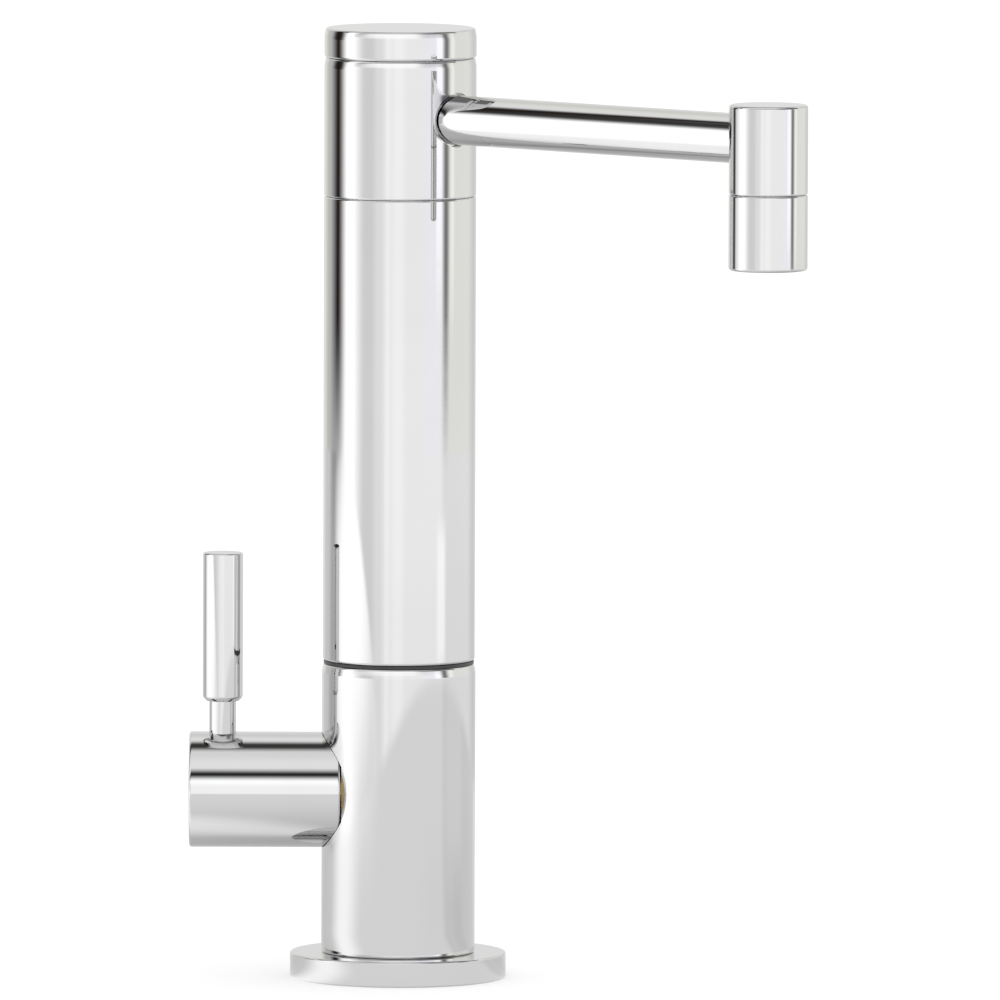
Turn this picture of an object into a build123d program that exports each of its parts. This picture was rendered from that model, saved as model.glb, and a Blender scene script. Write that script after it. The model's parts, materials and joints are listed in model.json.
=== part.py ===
from build123d import *
import os
from math import cos, radians, sin, sqrt

# Hot water faucet for a deck or worktop: a round column on a flange, a side barrel
# with a stick lever that turns a quarter-turn ceramic valve, and a swivelling upper
# column with a straight arm and a round outlet. Millimetres, +Z up. The origin is on
# the column's axis in the plane of the deck. The barrel points along -X, and a user
# stands on the -Y side.

# Base flange and lower column
flange_diameter = 54.0
flange_thickness = 6.4
flange_edge_chamfer = 0.5
gasket_outer_diameter = 46.0
gasket_inner_diameter = 28.0
gasket_thickness = 1.5
body_diameter = 38.4
body_length = 72.5
seam_chamfer = 0.5

# Upper column that swivels on the body, and stands back from its rim all round
column_setback = 0.2
column_diameter = body_diameter - 2 * column_setback
riser_wall = 3.0
riser_length = 116.35
head_length = 34.65
head_spigot_length = 9.0
head_floor = 6.0
head_chamber_diameter = 22.0
cap_thickness = 7.35
cap_edge_chamfer = 0.6
cap_spigot_inset = 5.0
cap_spigot_diameter = column_diameter - 2 * cap_spigot_inset
cap_spigot_length = 8.2

# Arm and outlet
arm_diameter = 12.35
arm_wall = 1.5
arm_rise = 19.8
arm_azimuth = -41.67
arm_reach = 121.6
head_seat_depth = 5.0
outlet_diameter = 19.5
outlet_seat_depth = 3.55
outlet_cap_rise = 8.85
outlet_body_length = 22.1
outlet_thread_diameter = 15.2
outlet_thread_length = 5.0
outlet_bore = 10.0
outlet_chamfer = 0.5

# Aerator in the outlet's lower collar
aerator_length = 18.75
aerator_cavity_diameter = 16.4
aerator_recess = 0.5
insert_length = 8.6
insert_wall = 1.35
insert_grid_thickness = 3.2
grid_cell_flats = 1.7
grid_cell_pitch = 2.1
grid_rings = 3
screen_thickness = 0.5
screen_ledge = 0.6
screen_cell = 1.6
screen_pitch = 2.2
screen_cells = 5
aerator_washer_thickness = 1.5
waterway_diameter = 11.0

# Threaded shank and what clamps it under the deck
shank_diameter = 20.955
shank_bore = 12.0
shank_engagement = 13.0
shank_plenum = 2.0
shank_hole_clearance = 0.15
deck_thickness = 30.0
deck_washer_diameter = 44.0
rubber_washer_thickness = 2.5
steel_washer_thickness = 1.5
nut_flats = 30.0
nut_height = 9.0
undercut_depth = 1.3
undercut_length = 2.0
inlet_thread_length = 19.0

# Valve barrel, which is the lever's hub, and the stick
valve_drop = 31.9
hub_diameter = 28.9
hub_reach = 52.3
hub_inner_reach = 14.5
hub_chamfer = 0.6
hub_wall = 2.25
hub_socket_gap = 0.5
lever_inset = 8.3
lever_stud_diameter = 6.0
lever_stud_depth = 8.6
neck_diameter = 6.7
neck_seat_depth = 0.55
neck_length = 7.8
grip_diameter = 10.0
grip_length = 37.25
grip_lower_chamfer = 1.0
grip_upper_chamfer = 0.4
grip_stud_diameter = 5.0
grip_stud_length = 8.0
grub_diameter = 5.0
grub_length = 7.5
grub_key_flats = 2.5
grub_key_depth = 3.0
grub_setback = 6.0

# Quarter-turn ceramic cartridge, measured along the barrel's axis
cartridge_diameter = 17.0
cartridge_wall = 1.5
cartridge_thread_diameter = 18.0
cartridge_flats = 19.0
cartridge_flange = 4.5
cartridge_neck_diameter = 12.0
cartridge_neck_length = 4.8
seat_depth = 4.0
seat_seal_thickness = 1.7
seat_seal_bore = 9.0
disc_thickness = 2.2
disc_port_inner_radius = 1.7
disc_port_outer_radius = 5.6
disc_port_angle = 78.0
drum_diameter = 8.8
drum_length = 3.65
tang_width = 2.6
tang_span = 8.4
tang_height = 1.0
thrust_washer_thickness = 1.0
thrust_washer_diameter = 12.4
window_width = 6.0
stem_diameter = 7.0
spline_count = 20
spline_depth = 0.4
spline_length = 12.5
clip_thickness = 0.6
clip_width = 2.4
clip_groove_depth = 0.6
chamber_diameter = 22.0
waterway_wall = 4.5
inlet_drill_diameter = 5.0
cross_drill_diameter = 6.0
inlet_drill_wall = 1.0

# Swivel joint inside the upper column
swivel_washer_thickness = 0.8
swivel_washer_inset = 0.4
post_diameter = 18.0
post_bore = 8.0
post_plenum = 2.5
post_tip = 2.3
bearing_length = 24.7
retainer_thickness = 1.0
retainer_width = 3.2
retainer_groove_depth = 1.0
retainer_gap_angle = 40.0
retainer_pocket_diameter = 25.0
adapter_thread_length = 4.0
adapter_flange_diameter = 28.0
adapter_flange = 4.0
adapter_boss_diameter = 16.0
adapter_boss_length = 7.0
tube_diameter = 10.0
tube_wall = 1.0
tube_seat = 3.0

# O-ring sections, and the clearances that every fit uses
large_ring_section = 1.6
small_ring_section = 0.9
ring_sides = 8
running_clearance = 0.05
thread_clearance = 0.03
ring_clearance = 0.03
groove_side_gap = 0.12
face_clearance = 0.3
hub_pocket_clearance = 0.2
tip_clearance = 1.0

# Levels of the column, from the deck up
body_bottom = flange_thickness
body_top = body_bottom + body_length
riser_bottom = body_top + swivel_washer_thickness
riser_top = riser_bottom + riser_length
head_top = riser_top + head_length
cap_top = head_top + cap_thickness
arm_height = riser_top + arm_rise
outlet_top = arm_height + outlet_cap_rise
outlet_seam = outlet_top - outlet_body_length
outlet_bottom = outlet_seam - aerator_length
valve_height = body_top - valve_drop

# Levels below the deck, from the deck down
rubber_washer_top = -deck_thickness
steel_washer_top = rubber_washer_top - rubber_washer_thickness
nut_top = steel_washer_top - steel_washer_thickness
nut_bottom = nut_top - nut_height
inlet_thread_top = nut_bottom - undercut_length
shank_bottom = inlet_thread_top - inlet_thread_length
shank_top = body_bottom + shank_engagement
shank_socket_top = shank_top + shank_plenum

# Stations of the cartridge, outwards from the column's axis along the barrel
seat_station = -seat_depth
fixed_disc_start = seat_station + seat_seal_thickness
moving_disc_start = fixed_disc_start + disc_thickness
drum_start = moving_disc_start + disc_thickness
drum_end = drum_start + drum_length
cavity_end = drum_end + running_clearance + thrust_washer_thickness
barrel_floor = hub_inner_reach - face_clearance
cartridge_flange_end = barrel_floor + cartridge_flange
cartridge_end = cartridge_flange_end + cartridge_neck_length
clip_start = cartridge_end + running_clearance
hub_cavity_end = clip_start + clip_thickness + clip_width
stem_end = hub_cavity_end + spline_length
lever_station = hub_reach - lever_inset
grub_station = hub_cavity_end + grub_setback

# Radii that several pieces share
shank_radius = shank_diameter / 2
cartridge_inner_radius = cartridge_diameter / 2 - cartridge_wall
disc_radius = cartridge_inner_radius - face_clearance
chamber_radius = chamber_diameter / 2
riser_bore_radius = column_diameter / 2 - riser_wall
post_radius = post_diameter / 2
bearing_radius = post_radius + running_clearance
arm_bore_radius = arm_diameter / 2 - arm_wall

# Levels of the swivel joint
post_socket_floor = valve_height + chamber_radius + waterway_wall
post_bottom = post_socket_floor + post_plenum
bearing_top = riser_bottom + bearing_length
retainer_bottom = bearing_top + face_clearance
post_top = retainer_bottom + retainer_thickness + post_tip
adapter_bottom = post_top + tip_clearance
socket_top = adapter_bottom + adapter_thread_length
adapter_top = socket_top + adapter_flange + adapter_boss_length
tube_bottom = socket_top + tube_seat
head_bottom = riser_top - head_spigot_length
chamber_floor = riser_top + head_floor
tube_top = chamber_floor - tip_clearance
cap_bottom = head_top - cap_spigot_length

# Places that other pieces are set on
valve_axis = Plane(origin=(0, 0, valve_height), x_dir=(0, 1, 0), z_dir=(-1, 0, 0))
arm_direction = (cos(radians(arm_azimuth)), sin(radians(arm_azimuth)), 0)
arm_axis = Plane(origin=(0, 0, arm_height), x_dir=(0, 0, 1), z_dir=arm_direction)
outlet_x = arm_reach * arm_direction[0]
outlet_y = arm_reach * arm_direction[1]


upright = (Align.CENTER, Align.CENTER, Align.MIN)
hanging = (Align.CENTER, Align.CENTER, Align.MAX)


def bar(radius, start, end):
    """Round bar about Z between two levels."""
    return Pos(0, 0, start) * Cylinder(radius, end - start, align=upright)


def tube(outer_radius, inner_radius, start, end):
    """Round tube about Z between two levels."""
    return bar(outer_radius, start, end) - bar(inner_radius, start, end)


def chamfered_bar(radius, start, end, start_chamfer, end_chamfer):
    """Round bar about Z whose two rims are chamfered."""
    outline = Polyline(
        (0, 0, start),
        (radius - start_chamfer, 0, start),
        (radius, 0, start + start_chamfer),
        (radius, 0, end - end_chamfer),
        (radius - end_chamfer, 0, end),
        (0, 0, end),
        close=True,
    )
    return revolve(make_face(outline), axis=Axis.Z)


def hexagonal_bar(flats, start, end):
    """Hexagonal bar about Z, measured across its flats."""
    return Pos(0, 0, start) * extrude(RegularPolygon(flats / 2, 6, major_radius=False), amount=end - start)


def ring_section(section):
    """Section of a squeezed O-ring, with a flat towards its bore and one towards its shaft."""
    return RegularPolygon(section / 2, ring_sides, major_radius=False, rotation=180 / ring_sides)


def shaft_ring(seat_radius, section, level):
    """O-ring that seals outwards, from its groove to a bore of seat_radius."""
    middle = seat_radius - ring_clearance - section / 2
    profile = Plane.XZ * Pos(middle, level) * ring_section(section)
    return revolve(profile, axis=Axis.Z)


def shaft_groove(shaft_radius, seat_radius, section, level):
    """Groove to cut in a shaft for a ring that seals against a bore of seat_radius."""
    floor = seat_radius - section - 2 * ring_clearance
    half_width = section / 2 + groove_side_gap
    return tube(shaft_radius + 1, floor, level - half_width, level + half_width)


def bore_ring(shaft_radius, section, level):
    """O-ring that seals inwards, from its groove in a bore to a shaft."""
    middle = shaft_radius + ring_clearance + section / 2
    profile = Plane.XZ * Pos(middle, level) * ring_section(section)
    return revolve(profile, axis=Axis.Z)


def bore_groove(shaft_radius, section, level):
    """Groove to cut in a bore for a ring that seals against a shaft."""
    half_width = section / 2 + groove_side_gap
    return bar(shaft_radius + section + 2 * ring_clearance, level - half_width, level + half_width)


def split_ring(outer_radius, inner_radius, start, end, gap_angle):
    """Flat ring about Z with a gap on its +X side."""
    half_gap = outer_radius * sin(radians(gap_angle / 2))
    gap = Box(outer_radius, 2 * half_gap, end - start, align=(Align.MIN, Align.CENTER, Align.MIN))
    return tube(outer_radius, inner_radius, start, end) - Pos(0, 0, start) * gap


def along_barrel(shape):
    """Set a piece that was made about Z on the barrel's axis, outwards from the column."""
    return valve_axis.location * shape


def along_arm(shape):
    """Set a piece that was made about Z on the arm's axis, outwards from the column."""
    return arm_axis.location * shape


def at_outlet(shape):
    """Set a piece that was made about Z on the outlet's axis."""
    return Pos(outlet_x, outlet_y, 0) * shape


def at_lever(shape):
    """Set a piece that was made about Z on the stick's axis, upwards from the barrel's axis."""
    return Pos(-lever_station, 0, valve_height) * shape


def base_flange():
    gasket_recess = tube(gasket_outer_diameter / 2, gasket_inner_diameter / 2, 0, gasket_thickness)
    plate = chamfered_bar(flange_diameter / 2, 0, flange_thickness, seam_chamfer, flange_edge_chamfer)
    return plate - bar(shank_radius + shank_hole_clearance, 0, flange_thickness) - gasket_recess


def base_gasket():
    return tube(
        gasket_outer_diameter / 2 - thread_clearance,
        gasket_inner_diameter / 2 + thread_clearance,
        0,
        gasket_thickness,
    )


def lower_body():
    block = chamfered_bar(body_diameter / 2, body_bottom, body_top, seam_chamfer, seam_chamfer)
    shank_socket = bar(shank_radius + thread_clearance, body_bottom, shank_socket_top)
    post_socket = bar(post_radius + thread_clearance, post_socket_floor, body_top)
    hub_pocket = bar(hub_diameter / 2 + hub_pocket_clearance, barrel_floor, hub_reach)
    cartridge_bore = bar(cartridge_diameter / 2 + running_clearance, seat_station, barrel_floor)
    thread_bore = bar(
        cartridge_thread_diameter / 2 + thread_clearance, cartridge_thread_start(), barrel_floor
    )
    chamber = bar(chamber_radius, drum_start, cavity_end - ring_clearance)
    drill_x = seat_depth + inlet_drill_wall + inlet_drill_diameter / 2
    inlet_drill = Pos(drill_x, 0, 0) * bar(inlet_drill_diameter / 2, shank_socket_top, valve_height)
    cross_drill = bar(cross_drill_diameter / 2, -drill_x - inlet_drill_diameter / 2, seat_station)
    outlet_drill_x = -(drum_start + cavity_end) / 2
    outlet_drill = Pos(outlet_drill_x, 0, 0) * bar(
        inlet_drill_diameter / 2, valve_height + cartridge_diameter / 2, post_socket_floor
    )
    bores = along_barrel(hub_pocket + cartridge_bore + thread_bore + chamber + cross_drill)
    return block - shank_socket - post_socket - bores - inlet_drill - outlet_drill


def cartridge_ring_station():
    """Middle of the cartridge's outer O-ring."""
    return cavity_end + large_ring_section


def cartridge_thread_start():
    """Where the cartridge's thread begins, past its outer O-ring."""
    return cartridge_ring_station() + large_ring_section


def shank_ring_level():
    """Middle of the shank's O-ring, near its top."""
    return shank_top - large_ring_section * 1.5


def inlet_shank():
    socket_radius = shank_radius + thread_clearance
    shank = bar(shank_radius, shank_bottom, shank_top)
    shank -= tube(shank_radius + 1, shank_radius - undercut_depth, inlet_thread_top, nut_bottom)
    shank -= shaft_groove(shank_radius, socket_radius, large_ring_section, shank_ring_level())
    return shank - bar(shank_bore / 2, shank_bottom, shank_top)


def shank_o_ring():
    return shaft_ring(shank_radius + thread_clearance, large_ring_section, shank_ring_level())


def deck_rubber_washer():
    inner = shank_radius + shank_hole_clearance
    return tube(deck_washer_diameter / 2, inner, steel_washer_top, rubber_washer_top)


def deck_steel_washer():
    inner = shank_radius + shank_hole_clearance
    return tube(deck_washer_diameter / 2, inner, nut_top, steel_washer_top)


def mounting_nut():
    thread = bar(shank_radius + thread_clearance, nut_bottom, nut_top)
    return hexagonal_bar(nut_flats, nut_bottom, nut_top) - thread


def cartridge_body():
    outer_radius = cartridge_diameter / 2
    shell = bar(outer_radius, fixed_disc_start, barrel_floor)
    shell += bar(cartridge_thread_diameter / 2, cartridge_thread_start(), barrel_floor)
    shell += hexagonal_bar(cartridge_flats, barrel_floor, cartridge_flange_end)
    shell += bar(cartridge_neck_diameter / 2, cartridge_flange_end, cartridge_end)
    shell -= bar(cartridge_inner_radius, fixed_disc_start, cavity_end)
    shell -= bar(stem_diameter / 2 + running_clearance, cavity_end, cartridge_end)
    shell -= shaft_groove(
        outer_radius, outer_radius + running_clearance, large_ring_section, cartridge_ring_station()
    )
    window_start = drum_start + face_clearance
    window_end = drum_end - face_clearance
    window = Box(cartridge_diameter + 1, window_width, window_end - window_start, align=upright)
    return along_barrel(shell - Pos(0, 0, window_start) * window)


def cartridge_o_ring():
    return along_barrel(
        shaft_ring(cartridge_diameter / 2 + running_clearance, large_ring_section, cartridge_ring_station())
    )


def cartridge_seat_seal():
    return along_barrel(
        tube(cartridge_inner_radius - face_clearance, seat_seal_bore / 2, seat_station, fixed_disc_start)
    )


def ceramic_disc(start):
    """Ceramic disc with two opposite ports, each a wide sector of a ring."""
    disc = bar(disc_radius, start, start + disc_thickness)
    half_angle = disc_port_angle / 2
    for middle in (0, 180):
        first, last = middle - half_angle, middle + half_angle
        port = make_face(
            Curve()
            + CenterArc((0, 0), disc_port_outer_radius, first, disc_port_angle)
            + CenterArc((0, 0), disc_port_inner_radius, first, disc_port_angle)
            + Line(polar(disc_port_inner_radius, first), polar(disc_port_outer_radius, first))
            + Line(polar(disc_port_inner_radius, last), polar(disc_port_outer_radius, last))
        )
        disc -= Pos(0, 0, start) * extrude(port, amount=disc_thickness)
    return disc


def polar(radius, angle):
    """Point in the plane at a radius and an angle in degrees."""
    return (radius * cos(radians(angle)), radius * sin(radians(angle)))


def fixed_ceramic_disc():
    return along_barrel(Rot(0, 0, 90) * ceramic_disc(fixed_disc_start))


def moving_ceramic_disc():
    slot = Box(
        tang_span + face_clearance, tang_width + face_clearance, tang_height + face_clearance, align=hanging
    )
    disc = ceramic_disc(moving_disc_start) - Pos(0, 0, drum_start) * Rot(0, 0, 90) * slot
    return along_barrel(disc)


def stem_ring_stations():
    """Middles of the two O-rings on the stem, inside the cartridge's long bore."""
    length = cartridge_flange_end - cavity_end
    return [cavity_end + length / 3, cavity_end + 2 * length / 3]


def cartridge_stem():
    radius = stem_diameter / 2
    stem = bar(drum_diameter / 2, drum_start, drum_end)
    stem += bar(radius, drum_end, hub_cavity_end)
    tang = Box(tang_span, tang_width, tang_height, align=hanging)
    stem += Pos(0, 0, drum_start) * Rot(0, 0, 90) * tang
    stem -= tube(radius + 1, radius - clip_groove_depth, cartridge_end, clip_start + clip_thickness)
    for station in stem_ring_stations():
        stem -= shaft_groove(radius, radius + running_clearance, small_ring_section, station)
    teeth = []
    for index in range(spline_count):
        angle = index * 360 / spline_count
        teeth.append(polar(radius, angle))
        teeth.append(polar(radius - spline_depth, angle + 180 / spline_count))
    splines = extrude(make_face(Polyline(*teeth, close=True)), amount=spline_length)
    return along_barrel(stem + Pos(0, 0, hub_cavity_end) * splines)


def stem_o_rings():
    rings = [
        along_barrel(shaft_ring(stem_diameter / 2 + running_clearance, small_ring_section, station))
        for station in stem_ring_stations()
    ]
    return Compound(children=rings)


def stem_thrust_washer():
    inner = stem_diameter / 2 + running_clearance
    return along_barrel(
        tube(thrust_washer_diameter / 2, inner, cavity_end - thrust_washer_thickness, cavity_end)
    )


def stem_clip():
    inner = stem_diameter / 2 - clip_groove_depth + ring_clearance
    return along_barrel(
        split_ring(inner + clip_width, inner, clip_start, clip_start + clip_thickness, retainer_gap_angle)
    )


def handle_hub():
    radius = hub_diameter / 2
    hub = chamfered_bar(radius, hub_inner_reach, hub_reach, hub_chamfer, hub_chamfer)
    hub -= bar(radius - hub_wall, hub_inner_reach, hub_cavity_end)
    hub -= bar(stem_diameter / 2 + thread_clearance, hub_cavity_end, stem_end + hub_socket_gap)
    stud_hole = bar(lever_stud_diameter / 2 + thread_clearance, stud_bottom() - thread_clearance, radius)
    neck_seat = bar(neck_diameter / 2 + thread_clearance, radius - neck_seat_depth, radius)
    grub_hole = Pos(-grub_station, 0, valve_height) * bar(grub_diameter / 2 + thread_clearance, -radius, 0)
    return along_barrel(hub) - at_lever(stud_hole + neck_seat) - grub_hole


def stud_bottom():
    """Lower end of the stick's threaded stud, above the barrel's axis."""
    return hub_diameter / 2 - lever_stud_depth


def grip_bottom():
    """Lower end of the grip, above the barrel's axis."""
    return hub_diameter / 2 + neck_length


def lever_neck():
    seat = hub_diameter / 2 - neck_seat_depth
    neck = bar(lever_stud_diameter / 2, stud_bottom(), seat)
    neck += bar(neck_diameter / 2, seat, grip_bottom())
    neck += bar(grip_stud_diameter / 2, grip_bottom(), grip_bottom() + grip_stud_length)
    return at_lever(neck)


def lever_grip():
    grip_top = grip_bottom() + grip_length
    grip = chamfered_bar(
        grip_diameter / 2, grip_bottom(), grip_top, grip_lower_chamfer, grip_upper_chamfer
    )
    hole_top = grip_bottom() + grip_stud_length + face_clearance
    return at_lever(grip - bar(grip_stud_diameter / 2 + thread_clearance, grip_bottom(), hole_top))


def hub_grub_screw():
    top = -stem_diameter / 2 - thread_clearance
    screw = bar(grub_diameter / 2, top - grub_length, top)
    key = hexagonal_bar(grub_key_flats, top - grub_length, top - grub_length + grub_key_depth)
    return Pos(-grub_station, 0, valve_height) * (screw - key)


def post_ring_levels():
    """Middles of the two O-rings on the post, spaced evenly along the bearing."""
    return [riser_bottom + bearing_length / 3, riser_bottom + 2 * bearing_length / 3]


def swivel_post():
    post = bar(post_radius, post_bottom, post_top) - bar(post_bore / 2, post_bottom, post_top)
    groove_top = retainer_bottom + retainer_thickness + ring_clearance
    post -= tube(
        post_radius + 1, post_radius - retainer_groove_depth, retainer_bottom - ring_clearance, groove_top
    )
    for level in post_ring_levels():
        post -= shaft_groove(post_radius, bearing_radius, large_ring_section, level)
    return post


def post_o_rings():
    rings = [shaft_ring(bearing_radius, large_ring_section, level) for level in post_ring_levels()]
    return Compound(children=rings)


def retaining_ring():
    inner = post_radius - retainer_groove_depth + ring_clearance
    top = retainer_bottom + retainer_thickness
    return split_ring(inner + retainer_width, inner, retainer_bottom, top, retainer_gap_angle)


def swivel_washer():
    return tube(
        body_diameter / 2 - swivel_washer_inset, post_radius + face_clearance, body_top, riser_bottom
    )


def swivel_socket():
    socket = bar(riser_bore_radius - thread_clearance, riser_bottom, socket_top)
    socket -= bar(bearing_radius, riser_bottom, bearing_top)
    return socket - bar(retainer_pocket_diameter / 2, bearing_top, socket_top)


def adapter_ring_level():
    """Middle of the O-ring on the adapter's threaded spigot."""
    return adapter_bottom + adapter_thread_length / 2


def tube_ring_levels():
    """Middles of the O-rings round the delivery tube, in the adapter and in the head."""
    return [socket_top + adapter_flange + adapter_boss_length / 2, (head_bottom + chamber_floor) / 2]


def tube_adapter():
    pocket_radius = retainer_pocket_diameter / 2
    adapter = bar(pocket_radius - thread_clearance, adapter_bottom, socket_top)
    adapter += bar(adapter_flange_diameter / 2, socket_top, socket_top + adapter_flange)
    adapter += bar(adapter_boss_diameter / 2, socket_top + adapter_flange, adapter_top)
    adapter -= bar(post_bore / 2, adapter_bottom, tube_bottom)
    adapter -= bar(tube_diameter / 2 + thread_clearance, tube_bottom, adapter_top)
    adapter -= bore_groove(tube_diameter / 2, small_ring_section, tube_ring_levels()[0])
    return adapter - shaft_groove(pocket_radius, pocket_radius, large_ring_section, adapter_ring_level())


def adapter_o_ring():
    return shaft_ring(retainer_pocket_diameter / 2, large_ring_section, adapter_ring_level())


def delivery_tube():
    return tube(tube_diameter / 2, tube_diameter / 2 - tube_wall, tube_bottom, tube_top)


def delivery_tube_o_rings():
    rings = [bore_ring(tube_diameter / 2, small_ring_section, level) for level in tube_ring_levels()]
    return Compound(children=rings)


def riser_column():
    wall = chamfered_bar(column_diameter / 2, riser_bottom, riser_top, seam_chamfer, seam_chamfer)
    return wall - bar(riser_bore_radius, riser_bottom, riser_top)


def head_seat_station():
    """Floor of the arm's seat in the head, measured from the column's axis."""
    return column_diameter / 2 - head_seat_depth


def outlet_seat_station():
    """Floor of the arm's seat in the outlet, measured from the column's axis."""
    return arm_reach - outlet_diameter / 2 + outlet_seat_depth


def spout_head():
    head = chamfered_bar(column_diameter / 2, riser_top, head_top, seam_chamfer, seam_chamfer)
    head += bar(riser_bore_radius - thread_clearance, head_bottom, riser_top)
    head -= bar(tube_diameter / 2 + thread_clearance, head_bottom, chamber_floor)
    head -= bore_groove(tube_diameter / 2, small_ring_section, tube_ring_levels()[1])
    head -= bar(head_chamber_diameter / 2, chamber_floor, cap_bottom)
    head -= bar(cap_spigot_diameter / 2, cap_bottom, head_top)
    seat = bar(arm_diameter / 2 + thread_clearance, head_seat_station(), column_diameter)
    return head - along_arm(seat + bar(arm_bore_radius, 0, head_seat_station()))


def cap_ring_level():
    """Middle of the O-ring on the cap's spigot."""
    return cap_bottom + large_ring_section * 1.5


def top_cap():
    spigot_radius = cap_spigot_diameter / 2 - thread_clearance
    cap = chamfered_bar(column_diameter / 2, head_top, cap_top, seam_chamfer, cap_edge_chamfer)
    cap += bar(spigot_radius, cap_bottom, head_top)
    return cap - shaft_groove(spigot_radius, cap_spigot_diameter / 2, large_ring_section, cap_ring_level())


def cap_o_ring():
    return shaft_ring(cap_spigot_diameter / 2, large_ring_section, cap_ring_level())


def spout_arm():
    return along_arm(tube(arm_diameter / 2, arm_bore_radius, head_seat_station(), outlet_seat_station()))


def outlet_body():
    body = chamfered_bar(outlet_diameter / 2, outlet_seam, outlet_top, seam_chamfer, outlet_chamfer)
    thread_end = outlet_seam + outlet_thread_length + face_clearance
    body -= bar(outlet_thread_diameter / 2, outlet_seam, thread_end)
    body -= bar(outlet_bore / 2, outlet_seam, arm_height + arm_bore_radius)
    seat = bar(arm_diameter / 2 + thread_clearance, arm_reach / 2, outlet_seat_station())
    return at_outlet(body) - along_arm(seat + bar(arm_bore_radius, outlet_seat_station(), arm_reach))


def insert_bottom():
    """Lower face of the aerator's insert, set back from the outlet's rim."""
    return outlet_bottom + aerator_recess


def insert_top():
    """Upper face of the aerator's insert, where its washer lies."""
    return insert_bottom() + insert_length


def aerator_housing():
    collar = chamfered_bar(outlet_diameter / 2, outlet_bottom, outlet_seam, outlet_chamfer, seam_chamfer)
    spigot_top = outlet_seam + outlet_thread_length
    collar += bar(outlet_thread_diameter / 2 - thread_clearance, outlet_seam, spigot_top)
    collar -= bar(aerator_cavity_diameter / 2, outlet_bottom, insert_top() + aerator_washer_thickness)
    return at_outlet(collar - bar(waterway_diameter / 2, outlet_bottom, spigot_top))


def hexagonal_centres(pitch, rings):
    """Centres of a hexagonal pattern with a number of rings round its middle."""
    centres = []
    for row in range(-rings, rings + 1):
        for column in range(-rings, rings + 1):
            if abs(row + column) <= rings:
                centres.append((pitch * (column + row / 2), pitch * row * sqrt(3) / 2))
    return centres


def aerator_insert():
    radius = aerator_cavity_diameter / 2 - thread_clearance
    insert = bar(radius, insert_bottom(), insert_top())
    ledge = insert_top() - screen_ledge
    insert -= bar(radius - insert_wall, ledge, insert_top())
    insert -= bar(radius - 1.5 * insert_wall, insert_bottom() + insert_grid_thickness, ledge)
    cell = RegularPolygon(grid_cell_flats / 2, 6, major_radius=False)
    cells = [Pos(x, y) * cell for x, y in hexagonal_centres(grid_cell_pitch, grid_rings)]
    grid = extrude(Sketch() + cells, amount=insert_grid_thickness)
    return at_outlet(insert - Pos(0, 0, insert_bottom()) * grid)


def aerator_screen():
    radius = aerator_cavity_diameter / 2 - insert_wall - 2 * thread_clearance
    bottom = insert_top() - screen_ledge
    screen = bar(radius, bottom, bottom + screen_thickness)
    cell = Rectangle(screen_cell, screen_cell)
    half = (screen_cells - 1) / 2
    centres = [
        (screen_pitch * (column - half), screen_pitch * (row - half))
        for row in range(screen_cells)
        for column in range(screen_cells)
    ]
    reach = radius - screen_cell
    cells = [Pos(x, y) * cell for x, y in centres if sqrt(x * x + y * y) < reach]
    gaps = extrude(Sketch() + cells, amount=screen_thickness)
    return at_outlet(screen - Pos(0, 0, bottom) * gaps)


def aerator_washer():
    outer = aerator_cavity_diameter / 2 - thread_clearance
    return at_outlet(
        tube(outer, waterway_diameter / 2, insert_top(), insert_top() + aerator_washer_thickness)
    )


sub_parts = {
    "base_flange": base_flange,
    "base_gasket": base_gasket,
    "lower_body": lower_body,
    "inlet_shank": inlet_shank,
    "shank_o_ring": shank_o_ring,
    "deck_rubber_washer": deck_rubber_washer,
    "deck_steel_washer": deck_steel_washer,
    "mounting_nut": mounting_nut,
    "cartridge_body": cartridge_body,
    "cartridge_o_ring": cartridge_o_ring,
    "cartridge_seat_seal": cartridge_seat_seal,
    "fixed_ceramic_disc": fixed_ceramic_disc,
    "swivel_post": swivel_post,
    "post_o_rings": post_o_rings,
    "retaining_ring": retaining_ring,
    "swivel_washer": swivel_washer,
    "handle_hub": handle_hub,
    "lever_neck": lever_neck,
    "lever_grip": lever_grip,
    "hub_grub_screw": hub_grub_screw,
    "cartridge_stem": cartridge_stem,
    "moving_ceramic_disc": moving_ceramic_disc,
    "stem_o_rings": stem_o_rings,
    "stem_thrust_washer": stem_thrust_washer,
    "stem_clip": stem_clip,
    "riser_column": riser_column,
    "swivel_socket": swivel_socket,
    "tube_adapter": tube_adapter,
    "adapter_o_ring": adapter_o_ring,
    "delivery_tube": delivery_tube,
    "delivery_tube_o_rings": delivery_tube_o_rings,
    "spout_head": spout_head,
    "top_cap": top_cap,
    "cap_o_ring": cap_o_ring,
    "spout_arm": spout_arm,
    "outlet_body": outlet_body,
    "aerator_housing": aerator_housing,
    "aerator_insert": aerator_insert,
    "aerator_screen": aerator_screen,
    "aerator_washer": aerator_washer,
}

os.makedirs("parts", exist_ok=True)
for name, build in sub_parts.items():
    shape = build()
    shape.label = name
    export_step(shape, f"parts/{name}.step")
    print(name, round(shape.volume, 1))
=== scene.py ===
"""Looks of the deck-mounted hot water faucet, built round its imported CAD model.

Every visible chrome piece is turned at high resolution from the sizes of the CAD part, and
the pieces inside keep their CAD solids and get finishes of their own. Sizes are written in
millimetres and made in metres. +Z is up, -Y is the user's side and -X is the lever's side.
"""

import json
import logging
import math
from contextlib import contextmanager
from dataclasses import dataclass
from enum import Enum
from functools import partial, reduce
from typing import Iterator, Mapping, Sequence

import bpy
from mathutils import Matrix, Vector


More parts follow.
